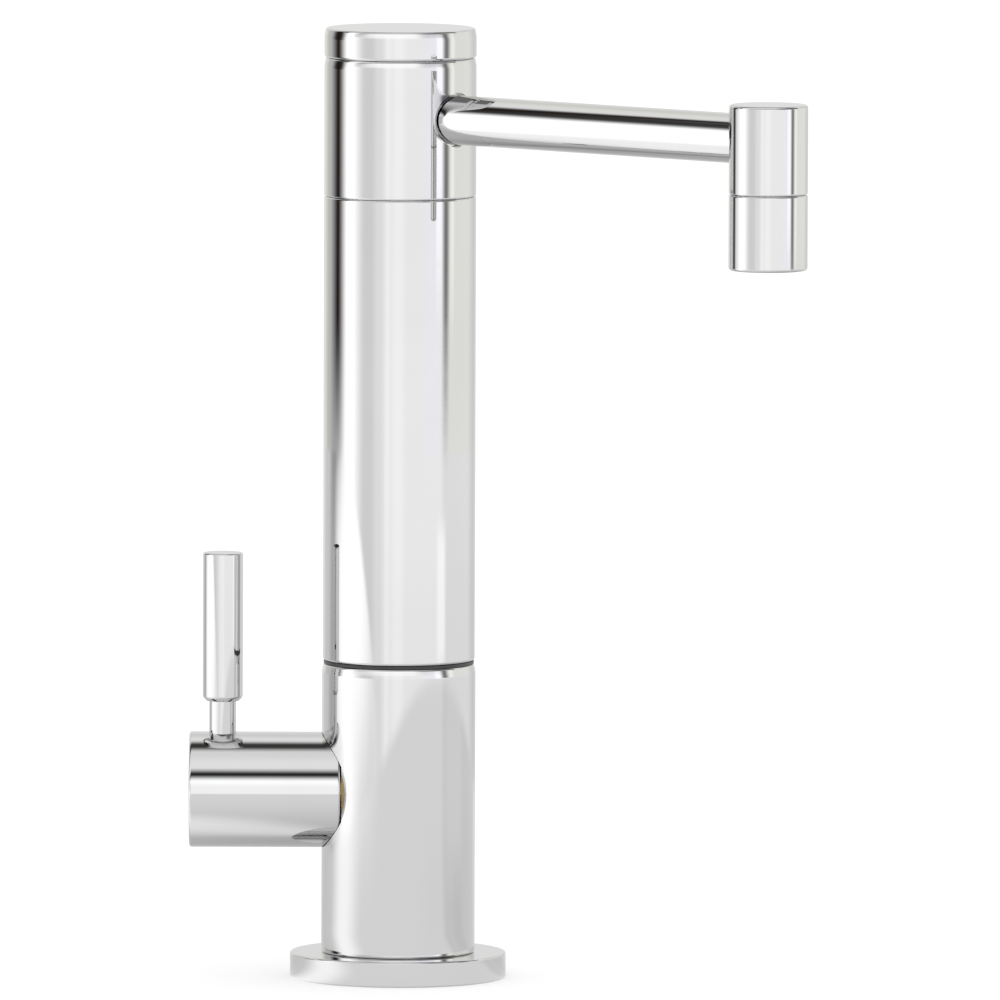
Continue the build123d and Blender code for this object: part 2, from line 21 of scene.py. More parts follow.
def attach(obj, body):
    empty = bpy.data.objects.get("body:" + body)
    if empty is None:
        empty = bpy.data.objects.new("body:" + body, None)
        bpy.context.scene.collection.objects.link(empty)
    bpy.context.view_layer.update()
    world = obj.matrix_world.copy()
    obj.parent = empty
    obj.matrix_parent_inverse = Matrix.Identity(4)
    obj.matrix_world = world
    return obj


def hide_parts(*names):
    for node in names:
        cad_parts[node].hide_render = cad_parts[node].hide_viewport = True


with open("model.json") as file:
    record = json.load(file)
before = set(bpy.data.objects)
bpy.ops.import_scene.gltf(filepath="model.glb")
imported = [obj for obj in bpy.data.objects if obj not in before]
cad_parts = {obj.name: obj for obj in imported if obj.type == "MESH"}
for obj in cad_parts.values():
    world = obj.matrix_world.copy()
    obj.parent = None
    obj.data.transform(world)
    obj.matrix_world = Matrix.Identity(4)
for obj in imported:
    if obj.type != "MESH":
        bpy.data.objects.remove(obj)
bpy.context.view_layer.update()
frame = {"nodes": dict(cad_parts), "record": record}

MM = 0.001
log = logging.getLogger("faucet")

# Faces across a rounded edge, and the distance in metres under which two points are one.
ROUND_STEPS = 6
SAME_POINT = 1e-6

Point = tuple[float, float]
Triple = tuple[float, float, float]
Socket = bpy.types.NodeSocket


class Body(Enum):
    """CAD bodies that a piece can ride on."""

    DECK = "root"
    LEVER = "lever"
    SPOUT = "spout"


class Metal(Enum):
    """Material slots of the record, by what the piece is made of."""

    CHROME = "polished_chrome"
    BRASS = "plain_brass"
    STEEL = "stainless_steel"
    RUBBER = "black_rubber"
    BLACK_PLASTIC = "black_plastic"
    CERAMIC = "white_ceramic"
    WHITE_PLASTIC = "white_plastic"


class Ends(Enum):
    """How the first and last ring of a turned outline are closed."""

    CAPPED = "each end gets a flat face"
    JOINED = "the last ring is bridged to the first"


class Join(Enum):
    """Booleans that join two shapes."""

    CUT = "DIFFERENCE"
    ADD = "UNION"
    KEEP = "INTERSECT"


class Faces(Enum):
    """How many faces go round a turned shape."""

    DRILL = 48
    HOLE = 96
    SEAT = 128
    SMALL = 192
    MEDIUM = 256
    LARGE = 384
    MIRROR = 512


def turn_to(*axes: Vector) -> Matrix:
    """Matrix that turns X, Y and Z to three new directions."""
    return Matrix([[axis[row] for axis in axes] for row in range(3)]).to_4x4()


# Shader wiring


class NodeSheet:
    """A node tree with short calls for the nodes that the finishes and the studio use."""

    def __init__(self, tree: bpy.types.NodeTree) -> None:
        """Takes the node tree of a material or of the world, and empties it."""
        self.tree = tree
        tree.nodes.clear()

    @classmethod
    def of_material(cls, name: str) -> tuple[bpy.types.Material, "NodeSheet"]:
        """Makes a material.

        Args:
            name: Its name.

        Returns:
            The material and its empty node tree.
        """
        made = bpy.data.materials.new(name)
        made.use_nodes = True
        return made, cls(made.node_tree)

    def add(
        self, kind: str, values: Mapping[int | str, object] | None = None, **settings: object
    ) -> bpy.types.Node:
        """Adds a node.

        Args:
            kind: The node's type without its ShaderNode prefix.
            values: Numbers, colours or output sockets for its inputs, by place or name.
            settings: Properties to set on the node.

        Returns:
            The new node.
        """
        node = self.tree.nodes.new("ShaderNode" + kind)
        for name, value in settings.items():
            setattr(node, name, value)
        for key, value in (values or {}).items():
            if isinstance(value, Socket):
                self.tree.links.new(value, node.inputs[key])
            else:
                node.inputs[key].default_value = value
        return node

    def surface(self, shader: bpy.types.Node, output: str = "OutputMaterial") -> None:
        """Leads a shader to the tree's output."""
        self.add(output, {"Surface": shader.outputs[0]})

    def choose(self, factor: object, first: bpy.types.Node, second: bpy.types.Node) -> bpy.types.Node:
        """Mixes two shaders, by a factor that is 0 for the first and 1 for the second."""
        return self.add("MixShader", {0: factor, 1: first.outputs[0], 2: second.outputs[0]})

    def axes(self, output: str) -> tuple[Socket, Socket, Socket]:
        """X, Y and Z of an output of the Texture Coordinate node."""
        return tuple(self.add("SeparateXYZ", {0: self.add("TexCoord").outputs[output]}).outputs)

    def math(self, operation: str, *values: object) -> Socket:
        """Result of a Math node, from numbers or sockets."""
        return self.add("Math", dict(enumerate(values)), operation=operation).outputs[0]

    def product(self, *factors: object) -> object:
        """Multiplies numbers and sockets, one after another."""
        return reduce(partial(self.math, "MULTIPLY"), factors)

    def rise(self, value: object, low: float, high: float) -> Socket:
        """Smooth step of a value, which leaves 0 at the low end and reaches 1 at the high end."""
        ends = {0: value, 1: low, 2: high, 3: 0.0, 4: 1.0}
        return self.add("MapRange", ends, interpolation_type="SMOOTHSTEP").outputs[0]

    def blend(self, factor: object, first: object, second: object) -> Socket:
        """Mixes two numbers, by a factor that is 0 for the first and 1 for the second."""
        return self.add("Mix", {0: factor, 2: first, 3: second}, data_type="FLOAT").outputs[0]

    def tint(self, factor: object, first: object, second: object) -> Socket:
        """Mixes two colours, by a factor that is 0 for the first and 1 for the second."""
        return self.add("Mix", {0: factor, 6: first, 7: second}, data_type="RGBA").outputs[2]

    def grey(self, tone: object, blue: object = 1.0) -> Socket:
        """Grey of a tone, whose share of blue is under 1 if it is warm and over 1 if it is cool."""
        return self.add("CombineColor", {0: tone, 1: tone, 2: self.product(tone, blue)}).outputs[0]

    def noise(self, scale: float, detail: float, stretch: Triple = (1.0, 1.0, 1.0)) -> Socket:
        """A noise pattern on Object coordinates.

        Args:
            scale: Its scale per metre.
            detail: Its octaves.
            stretch: Scale of each axis before the noise.

        Returns:
            The noise's factor output.
        """
        place = self.add("TexCoord").outputs["Object"]
        mapped = self.add("Mapping", {"Vector": place, "Scale": stretch}).outputs[0]
        return self.add("TexNoise", {"Vector": mapped, "Scale": scale, "Detail": detail}).outputs[0]

    def band(self, angle: object, centre: float, inner: float, outer: float) -> Socket:
        """1 inside a band of angles, falling smoothly to 0 outside it.

        Args:
            angle: The angle in degrees.
            centre: The band's middle.
            inner: Half the width that is full.
            outer: Half the width at which it is gone.

        Returns:
            The band's mask.
        """
        shifted = self.math("ADD", angle, 180.0 - centre)
        wrapped = self.math("SUBTRACT", self.math("FLOORED_MODULO", shifted, 360.0), 180.0)
        return self.rise(self.math("ABSOLUTE", wrapped), outer, inner)

    def azimuth(self, x: object, y: object) -> Socket:
        """Angle of a direction from the user's side towards +X, in degrees."""
        return self.math("DEGREES", self.math("ARCTAN2", x, self.product(y, -1.0)))

    def distance(self, x: object, y: object, centre: Point = (0.0, 0.0)) -> Socket:
        """Distance in the plane from a centre."""
        sides = [self.math("ABSOLUTE", self.math("SUBTRACT", *pair)) for pair in zip((x, y), centre)]
        return self.math("SQRT", self.math("ADD", *(self.math("POWER", side, 2.0) for side in sides)))


# Finishes


@dataclass(frozen=True)
class Finish:
    """A finish made of one Principled shader, with a pattern in its colour, gloss and surface.

    Attributes:
        slot: The record's slot that this finish is for.
        colour: Main colour.
        second: Colour of the faint cloudy variation.
        metallic: 1 for metal.
        gloss: Lowest and highest roughness.
        cloud: Scale per metre of the variation in colour and gloss.
        grain: Scale per metre of the fine surface relief.
        depth: Height of that relief in metres.
        stretch: How the grain is stretched along each axis.
        cloud_edges: Noise levels between which the cloud goes from one look to the other.
        cloud_detail: Octaves of the cloud.
        grain_detail: Octaves of the grain.
    """

    slot: Metal
    colour: Triple
    second: Triple
    metallic: float
    gloss: Point
    cloud: float
    grain: float
    depth: float
    stretch: Triple = (1.0, 1.0, 1.0)
    cloud_edges: Point = (0.3, 0.7)
    cloud_detail: float = 3.0
    grain_detail: float = 4.0

    def material(self) -> bpy.types.Material:
        """Builds the material.

        Returns:
            The new material, named after its slot.
        """
        made, sheet = NodeSheet.of_material(self.slot.value)
        cloud = sheet.rise(sheet.noise(self.cloud, self.cloud_detail), *self.cloud_edges)
        relief = sheet.noise(self.grain, self.grain_detail, self.stretch)
        look = {
            "Metallic": self.metallic,
            "Base Color": sheet.tint(cloud, (*self.colour, 1), (*self.second, 1)),
            "Roughness": sheet.blend(cloud, *self.gloss),
            "Normal": sheet.add("Bump", {"Distance": self.depth, "Height": relief}).outputs[0],
        }
        sheet.surface(sheet.add("BsdfPrincipled", look))
        return made


FINISHES = (
    Finish(
        Metal.CHROME, (0.655, 0.655, 0.658), (0.668, 0.668, 0.672), 1.0, (0.012, 0.03),
        cloud=45.0, grain=70.0, depth=4e-6,
    ),
    Finish(
        Metal.BRASS, (0.72, 0.56, 0.28), (0.62, 0.46, 0.21), 1.0, (0.22, 0.38),
        cloud=90.0, grain=500.0, depth=1.2e-5, stretch=(0.3, 0.3, 6.0),
    ),
    Finish(
        Metal.STEEL, (0.62, 0.62, 0.61), (0.55, 0.55, 0.55), 1.0, (0.2, 0.36),
        cloud=120.0, grain=900.0, depth=8e-6, stretch=(6.0, 0.4, 1.0),
    ),
    Finish(
        Metal.RUBBER, (0.028, 0.028, 0.029), (0.04, 0.04, 0.041), 0.0, (0.55, 0.75),
        cloud=200.0, grain=2500.0, depth=3e-5,
    ),
    Finish(
        Metal.BLACK_PLASTIC, (0.035, 0.035, 0.038), (0.045, 0.045, 0.048), 0.0, (0.32, 0.45),
        cloud=250.0, grain=3500.0, depth=1.5e-5,
    ),
    Finish(
        Metal.CERAMIC, (0.88, 0.87, 0.84), (0.84, 0.83, 0.8), 0.0, (0.18, 0.3),
        cloud=350.0, grain=4000.0, depth=6e-6,
    ),
    Finish(
        Metal.WHITE_PLASTIC, (0.85, 0.85, 0.83), (0.8, 0.8, 0.78), 0.0, (0.3, 0.42),
        cloud=200.0, grain=3000.0, depth=1.5e-5,
    ),
)


# Modelling bench


@dataclass(frozen=True)
class Place:
    """Where a piece that was turned about Z is set.

    Attributes:
        origin: Its new origin in millimetres.
        axis: Direction that its Z axis takes.
        side: Direction that its X axis takes.
    """

    origin: Triple = (0.0, 0.0, 0.0)
    axis: Triple = (0.0, 0.0, 1.0)
    side: Triple = (1.0, 0.0, 0.0)

    def matrix(self) -> Matrix:
        """Matrix from the turned piece to the faucet, in metres."""
        along = Vector(self.axis).normalized()
        side = Vector(self.side)
        side = (side - along * side.dot(along)).normalized()
        return Matrix.Translation(Vector(self.origin) * MM) @ turn_to(side, along.cross(side), along)


class Bench:
    """Shapes meshes with Blender's own operators, one piece at a time."""

    def __init__(self) -> None:
        """Prepares an empty list of materials."""
        self.materials: dict[Metal, bpy.types.Material] = {}

    @staticmethod
    def clear_selection() -> None:
        """Leaves nothing selected."""
        if bpy.context.object and bpy.context.object.mode != "OBJECT":
            bpy.ops.object.mode_set(mode="OBJECT")
        bpy.ops.object.select_all(action="DESELECT")

    def take(self, piece: bpy.types.Object) -> None:
        """Selects one piece alone and makes it active.

        Args:
            piece: The piece to work on.
        """
        self.clear_selection()
        piece.select_set(True)
        bpy.context.view_layer.objects.active = piece

    @staticmethod
    def new_piece(name: str) -> bpy.types.Object:
        """Names the shape that was just added, and puts its place into its mesh.

        Args:
            name: Its name.

        Returns:
            The new piece.
        """
        piece = bpy.context.object
        piece.name = name
        bpy.ops.object.transform_apply(location=True, rotation=True, scale=True)
        return piece

    @staticmethod
    @contextmanager
    def editing(kind: str) -> Iterator[None]:
        """Opens the active piece in edit mode, with all of it selected.

        Args:
            kind: What is selected, VERT, EDGE or FACE.

        Yields:
            Nothing, while the piece is open.
        """
        bpy.ops.object.mode_set(mode="EDIT")
        bpy.ops.mesh.select_mode(type=kind)
        bpy.ops.mesh.select_all(action="SELECT")
        yield
        bpy.ops.object.mode_set(mode="OBJECT")

    @staticmethod
    def modify(piece: bpy.types.Object, kind: str, **settings: object) -> None:
        """Adds a modifier to the active piece and applies it.

        Args:
            piece: The active piece.
            kind: The modifier's type.
            settings: Properties to set on it.
        """
        bpy.ops.object.modifier_add(type=kind)
        modifier = piece.modifiers[-1]
        for name, value in settings.items():
            setattr(modifier, name, value)
        bpy.ops.object.modifier_apply(modifier=modifier.name)

    def turned(
        self,
        name: str,
        outline: Sequence[Point],
        ends: Ends = Ends.CAPPED,
        faces: Faces = Faces.MEDIUM,
        rounds: Mapping[int, float] | None = None,
    ) -> bpy.types.Object:
        """Turns a piece about Z, ring by ring, from a circle that is extruded and resized.

        Args:
            name: Name of the piece.
            outline: Radius and level of each ring, in millimetres.
            ends: How the two end rings are closed.
            faces: How many faces go round it.
            rounds: Radius of the rounding at the rings that get one, by place in the outline.

        Returns:
            The turned piece.
        """
        self.clear_selection()
        first_radius, first_level = outline[0]
        bpy.ops.mesh.primitive_circle_add(
            vertices=faces.value, radius=first_radius * MM, location=(0, 0, first_level * MM)
        )
        piece = self.new_piece(name)
        with self.editing("EDGE"):
            if ends is Ends.CAPPED:
                bpy.ops.mesh.edge_face_add()
                self.select_rings(piece, [outline[0]])
            for (before, low), (after, high) in zip(outline, outline[1:]):
                bpy.ops.mesh.extrude_edges_move(TRANSFORM_OT_translate={"value": (0, 0, (high - low) * MM)})
                share = after / before
                bpy.ops.transform.resize(value=(share, share, 1), center_override=(0, 0, high * MM))
            if ends is Ends.CAPPED:
                bpy.ops.mesh.edge_face_add()
            else:
                self.select_rings(piece, [outline[0], outline[-1]])
                bpy.ops.mesh.bridge_edge_loops()
            for radius in sorted(set((rounds or {}).values()), reverse=True):
                rings = [outline[index] for index, size in rounds.items() if size == radius]
                self.select_rings(piece, rings)
                bpy.ops.mesh.bevel(offset=radius * MM, segments=ROUND_STEPS, affect="EDGES")
            bpy.ops.mesh.select_all(action="SELECT")
            bpy.ops.mesh.normals_make_consistent(inside=False)
        return piece

    @staticmethod
    def select_rings(piece: bpy.types.Object, rings: Sequence[Point]) -> None:
        """Selects, in edit mode, the edges that lie on given rings.

        Args:
            piece: The turned piece, about Z.
            rings: Radius and level of each ring, in millimetres.
        """
        bpy.ops.mesh.select_all(action="DESELECT")
        bpy.ops.object.mode_set(mode="OBJECT")
        tolerance = 0.002
        for edge in piece.data.edges:
            ends = [piece.data.vertices[index].co / MM for index in edge.vertices]
            for radius, level in rings:
                gaps = [(math.hypot(end.x, end.y) - radius, end.z - level) for end in ends]
                if all(abs(gap) < tolerance for pair in gaps for gap in pair):
                    edge.select = True
                    break
        bpy.ops.object.mode_set(mode="EDIT")

    def threaded(
        self, name: str, radius: float, depth: float, pitch: float, low: float, high: float, steps: int = 72
    ) -> bpy.types.Object:
        """Winds a pipe thread with rounded crests and roots, cut off flat at both ends.

        Args:
            name: Name of the piece.
            radius: Radius of the crests in millimetres.
            depth: Depth of the thread.
            pitch: Rise of one turn.
            low: Level of the lower end.
            high: Level of the upper end.
            steps: Faces round one turn.

        Returns:
            The threaded bar, which is solid.
        """
        flank_share, crest_share, spare_turns = 0.38, 0.12, 2
        half, flank, crest = pitch / 2, flank_share * pitch, crest_share * depth
        rises = ((crest, half - flank), (depth - 2 * crest, 2 * flank - half), (crest, half - flank))
        path = [*rises, *((-out, up) for out, up in reversed(rises))]
        self.clear_selection()
        bpy.ops.mesh.primitive_plane_add(size=MM)
        piece = self.new_piece(name)
        with self.editing("VERT"):
            bpy.ops.mesh.merge(type="CENTER")
            bpy.ops.transform.translate(
                value=((radius - depth) * MM, 0, (low - spare_turns * pitch) * MM)
            )
            for out, up in path:
                bpy.ops.mesh.extrude_vertices_move(
                    TRANSFORM_OT_translate={"value": (out * MM, 0, up * MM)}
                )
        turns = math.ceil((high - low) / pitch) + 2 * spare_turns
        self.modify(
            piece, "SCREW", axis="Z", steps=steps, render_steps=steps, screw_offset=pitch * MM,
            iterations=turns,
        )
        with self.editing("VERT"):
            bpy.ops.mesh.remove_doubles(threshold=SAME_POINT)
            for level, way in ((low, -1), (high, 1)):
                bpy.ops.mesh.select_all(action="SELECT")
                bpy.ops.mesh.bisect(
                    plane_co=(0, 0, level * MM), plane_no=(0, 0, way), use_fill=True,
                    clear_outer=True, threshold=SAME_POINT,
                )
            bpy.ops.mesh.select_all(action="SELECT")
            bpy.ops.mesh.normals_make_consistent(inside=False)
        return piece

    def hexagon(self, name: str, flats: float, low: float, high: float) -> bpy.types.Object:
        """Makes a hexagonal bar with two corners on the X axis.

        Args:
            name: Name of the piece.
            flats: Width across its flats in millimetres.
            low: Level of its lower end.
            high: Level of its upper end.

        Returns:
            The bar.
        """
        corner_angle = math.radians(60)
        self.clear_selection()
        bpy.ops.mesh.primitive_cylinder_add(
            vertices=6, radius=flats / math.sqrt(3) * MM, depth=(high - low) * MM,
            location=(0, 0, (low + high) / 2 * MM),
        )
        piece = self.new_piece(name)
        with self.editing("VERT"):
            bpy.ops.transform.rotate(value=corner_angle / 2, orient_axis="Z", center_override=(0, 0, 0))
        return piece

    def set_at(self, piece: bpy.types.Object, place: Place) -> bpy.types.Object:
        """Moves a piece to its place, and puts that place into its mesh.

        Args:
            piece: A piece that was made about Z.
            place: Where it goes.

        Returns:
            The same piece.
        """
        self.take(piece)
        piece.matrix_world = place.matrix() @ piece.matrix_world
        bpy.ops.object.transform_apply(location=True, rotation=True, scale=True)
        return piece

    def join(self, how: Join, piece: bpy.types.Object, *others: bpy.types.Object) -> None:
        """Joins a piece with other shapes, and removes those.

        Args:
            how: Which boolean joins them.
            piece: The piece that is kept.
            others: The other shapes.
        """
        for other in others:
            self.take(piece)
            self.modify(piece, "BOOLEAN", operation=how.value, solver="EXACT", object=other)
            bpy.data.objects.remove(other)

    def polish(self, piece: bpy.types.Object, angle: float = 35.0) -> None:
        """Shades a piece smooth up to an angle, with flat faces that stay flat.

        Args:
            piece: The piece to shade.
            angle: Edges sharper than this many degrees stay sharp.
        """
        full_weight = 100
        self.take(piece)
        bpy.ops.object.shade_smooth_by_angle(angle=math.radians(angle))
        self.modify(piece, "WEIGHTED_NORMAL", keep_sharp=True, weight=full_weight)

    def finish_piece(
        self, piece: bpy.types.Object, metal: Metal, body: Body, *nodes: str
    ) -> bpy.types.Object:
        """Gives a new piece its finish and its body, and hides the CAD nodes that it stands for.

        Args:
            piece: The finished mesh.
            metal: What it is made of.
            body: The CAD body that it rides on.
            nodes: CAD nodes that it replaces.

        Returns:
            The same piece.
        """
        piece.data.materials.clear()
        piece.data.materials.append(self.materials[metal])
        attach(piece, body.value)
        if nodes:
            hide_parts(*nodes)
        log.info("%s: %d faces, %s on %s", piece.name, len(piece.data.polygons), metal.value, body.value)
        return piece

    def bare_and_shaded_end(self, piece: bpy.types.Object, metal: Metal, station: float) -> None:
        """Gives a piece's flat end that faces +X another finish, which is partly a bare face and partly
        painted shade that darkens the gap beside it.

        Args:
            piece: A finished piece.
            metal: What the end shows.
            station: Where the end lies along X, in millimetres.
        """
        facing, tolerance = 0.95, 0.01
        self.take(piece)
        piece.data.materials.append(self.materials[metal])
        piece.active_material_index = len(piece.data.materials) - 1
        with self.editing("FACE"):
            bpy.ops.mesh.select_all(action="DESELECT")
        for face in piece.data.polygons:
            face.select = face.normal.x > facing and abs(face.center.x / MM - station) < tolerance
        bpy.ops.object.mode_set(mode="EDIT")
        bpy.ops.object.material_slot_assign()
        bpy.ops.object.mode_set(mode="OBJECT")

    def disc(self, name: str, radius: float, level: float = 0.0) -> bpy.types.Object:
        """Lays a flat disc for the studio.

        Args:
            name: Its name.
            radius: Its radius in metres.
            level: Its height in metres.

        Returns:
            The disc.
        """
        self.clear_selection()
        bpy.ops.mesh.primitive_circle_add(
            vertices=Faces.HOLE.value, radius=radius, fill_type="NGON", location=(0, 0, level)
        )
        return self.new_piece(name)

    def dress_cad_nodes(self) -> None:
        """Gives every CAD node that still shows the finish of its slot."""
        slot_of = {part["node"]: part["material_slot"] for part in frame["record"]["subparts"]}
        for name, node in frame["nodes"].items():
            if node.hide_render:
                continue
            metal = Metal(slot_of[name])
            node.data.materials.clear()
            node.data.materials.append(self.materials[metal])
            log.info("%s keeps its CAD shape in %s", name, metal.value)


# Sub-assemblies

# How far inside and below the sharp corner each ring of a rolled rim lies.
ROLL = ((0.0, 2.4), (0.03, 1.9), (0.11, 1.4), (0.26, 0.6), (0.37, 0.0))


def rolled(radius: float, level: float) -> list[Point]:
    """Rings of an upper rim that polishing has rolled over, up to its corner at a level."""
    return [(radius - inside, level - below) for inside, below in ROLL]


def ring(inner: float, outer: float, low: float, high: float) -> list[Point]:
    """Outline of a plain ring, between two radii and two levels."""
    return [(inner, low), (outer, low), (outer, high), (inner, high)]


def steps(start: float, *sections: Point) -> list[Point]:
    """Stepped outline, from a level on, with the radius of each section and the level where it ends."""
    starts = (start, *(end for _, end in sections))
    return [(radius, level) for (radius, end), low in zip(sections, starts) for level in (low, end)]


@dataclass
class Column:
    """Sizes and levels of the column that several sub-assemblies share, in millimetres."""

    body_bottom: float = 6.4
    body_top: float = 78.9
    body_radius: float = 19.2
    washer_top: float = 79.7
    riser_top: float = 196.05
    head_top: float = 230.7
    cap_top: float = 238.05
    radius: float = 19.0
    riser_bore: float = 16.0
    seam_round: float = 0.7
    rim_round: float = 0.45
    valve_height: float = 47.0
    arm_height: float = 215.85
    shank_radius: float = 10.4775
    fit: float = 0.03

    def barrel(self) -> Place:
        """Place of pieces that are turned about the barrel's axis, outwards from the column."""
        return Place((0.0, 0.0, self.valve_height), (-1.0, 0.0, 0.0), (0.0, 1.0, 0.0))


@dataclass
class SubAssembly:
    """Pieces that are made together, on one bench and round one column."""

    bench: Bench
    column: Column

    def turn(
        self,
        name: str,
        node: str,
        metal: Metal,
        body: Body,
        outline: Sequence[Point],
        ends: Ends,
        faces: Faces,
        rounds: Mapping[int, float] | None = None,
        place: Place | None = None,
        cutters: Sequence[bpy.types.Object] = (),
    ) -> bpy.types.Object:
        """Turns a piece, sets it in place, cuts it and finishes it.

        Args:
            name: Name of the piece.
            node: The CAD node that it replaces.
            metal: What it is made of.
            body: The CAD body that it rides on.
            outline: Radius and level of each ring, in millimetres.
            ends: How the two end rings are closed.
            faces: How many faces go round it.
            rounds: Radius of the rounding at the rings that get one.
            place: Where it is set, if not about the column's axis.
            cutters: Shapes that are cut out of it.

        Returns:
            The finished piece.
        """
        piece = self.bench.turned(name, outline, ends, faces, rounds)
        if place:
            self.bench.set_at(piece, place)
        self.bench.join(Join.CUT, piece, *cutters)
        self.bench.polish(piece)
        return self.bench.finish_piece(piece, metal, body, node)

    def cutter(
        self, name: str, outline: Sequence[Point], faces: Faces, place: Place = Place()
    ) -> bpy.types.Object:
        """Turns a solid cutter from the radius and level of each ring, and sets it in place."""
        return self.bench.set_at(self.bench.turned(name, outline, faces=faces), place)


@dataclass
class BaseFlange(SubAssembly):
    """The flange that stands on the deck."""

    radius: float = 27.0
    edge_round: float = 0.5
    hole_radius: float = 10.6275
    recess_inner: float = 14.0
    recess_outer: float = 23.0
    recess_depth: float = 1.5

    def build(self) -> None:
        """Turns the flange, with the gasket's recess below and a rounded rim above."""
        top = self.column.body_bottom
        outline = [
            (self.hole_radius, 0.0),
            *steps(0.0, (self.recess_inner, self.recess_depth), (self.recess_outer, 0.0), (self.radius, top)),
            (self.hole_radius, top),
        ]
        rounds = {5: self.edge_round, 6: self.edge_round}
        self.turn(
            "flange", "base_flange", Metal.CHROME, Body.DECK, outline, Ends.JOINED, Faces.LARGE, rounds
        )


@dataclass
class DeckClamp(SubAssembly):
    """The threaded shank, and the washers and the nut that clamp it under the deck."""

    bottom: float = -64.0
    top: float = 19.4
    bore: float = 6.0
    pitch: float = 1.814
    thread_depth: float = 1.16
    thread_top: float = 14.6
    thread_crease: float = 28.0
    head_overlap: float = 0.2
    lead_in: float = 1.3
    relief: Point = (-45.0, -43.0)
    relief_radius: float = 9.1775
    ring_groove: Point = (16.08, 17.92)
    ring_groove_radius: float = 8.8475
    cut_below: float = 0.5
    cut_past: float = 1.0
    cut_width: float = 3.0
    washer_radius: float = 22.0
    washer_hole: float = 10.6275
    rubber_top: float = -30.0
    rubber_round: float = 0.4
    steel_top: float = -32.5
    steel_round: float = 0.15
    nut_top: float = -34.0
    nut_bottom: float = -43.0
    nut_flats: float = 30.0
    nut_face: float = 14.3
    nut_slope: float = 30.0
    nut_past: float = 0.2
    corner_past: float = 0.3
    mouth_width: float = 1.0
    mouth_depth: float = 0.8

    def shank(self) -> None:
        """Winds the shank's thread, adds its plain head and cuts its bore, relief and lead-in."""
        bench, radius, past = self.bench, self.column.shank_radius, self.cut_past
        shank = bench.threaded(
            "threaded_shank", radius, self.thread_depth, self.pitch, self.bottom, self.thread_top
        )
        low, high = self.ring_groove
        groove = (self.ring_groove_radius, high)
        head = steps(self.thread_top - self.head_overlap, (radius, low), groove, (radius, self.top))
        bench.join(Join.ADD, shank, bench.turned("shank_head", head, faces=Faces.SMALL))
        bore = steps(self.bottom - past, (self.bore, self.top + past))
        relief = ring(self.relief_radius, radius + 2 * past, *self.relief)
        below, over = self.bottom - self.cut_below, self.bottom + self.lead_in + past
        lead_in = [
            (radius - self.lead_in - self.cut_below, below),
            (radius + past, over),
            (radius + self.cut_width, over),
            (radius + self.cut_width, below),
        ]
        bench.join(
            Join.CUT,
            shank,
            bench.turned("bore_cutter", bore, faces=Faces.HOLE),
            bench.turned("relief_cutter", relief, Ends.JOINED, Faces.SMALL),
            bench.turned("lead_in_cutter", lead_in, Ends.JOINED, Faces.SMALL),
        )
        bench.polish(shank, self.thread_crease)
        bench.finish_piece(shank, Metal.BRASS, Body.DECK, "inlet_shank")

    def washer(self, name: str, node: str, metal: Metal, low: float, high: float, rounding: float) -> None:
        """Turns one of the two washers.

        Args:
            name: Name of the piece.
            node: The CAD node that it replaces.
            metal: What it is made of.
            low: Level of its lower face.
            high: Level of its upper face.
            rounding: Radius of its edges.
        """
        outline = ring(self.washer_hole, self.washer_radius, low, high)
        rounds = dict.fromkeys(range(len(outline)), rounding)
        self.turn(name, node, metal, Body.DECK, outline, Ends.JOINED, Faces.MEDIUM, rounds)

    def nut(self) -> None:
        """Makes the hexagonal nut, with its corners cut back and its hole's mouths opened."""
        bench, low, high, past = self.bench, self.nut_bottom, self.nut_top, self.nut_past
        nut = bench.hexagon("clamp_nut", self.nut_flats, low, high)
        slope = math.tan(math.radians(self.nut_slope))
        corner = self.nut_flats / math.sqrt(3) + self.corner_past
        face, drop = self.nut_face - past / slope, (corner - self.nut_face) * slope
        cone = [(face, low - past), (corner, low + drop), (corner, high - drop), (face, high + past)]
        bench.join(Join.KEEP, nut, bench.turned("nut_cone", cone, faces=Faces.SMALL))
        hole, deep = self.column.shank_radius + self.column.fit, self.mouth_depth
        wide = hole + self.mouth_width
        mouths = [(wide, low - past), (hole, low + deep), (hole, high - deep), (wide, high + past)]
        bench.join(Join.CUT, nut, bench.turned("nut_bore", mouths, faces=Faces.SMALL))
        bench.polish(nut)
        bench.finish_piece(nut, Metal.BRASS, Body.DECK, "mounting_nut")

    def build(self) -> None:
        """Builds the shank, the two washers and the nut."""
        rubber = (Metal.RUBBER, self.steel_top, self.rubber_top, self.rubber_round)
        steel = (Metal.STEEL, self.nut_top, self.steel_top, self.steel_round)
        self.shank()
        self.washer("rubber_washer", "deck_rubber_washer", *rubber)
        self.washer("steel_washer", "deck_steel_washer", *steel)
        self.nut()


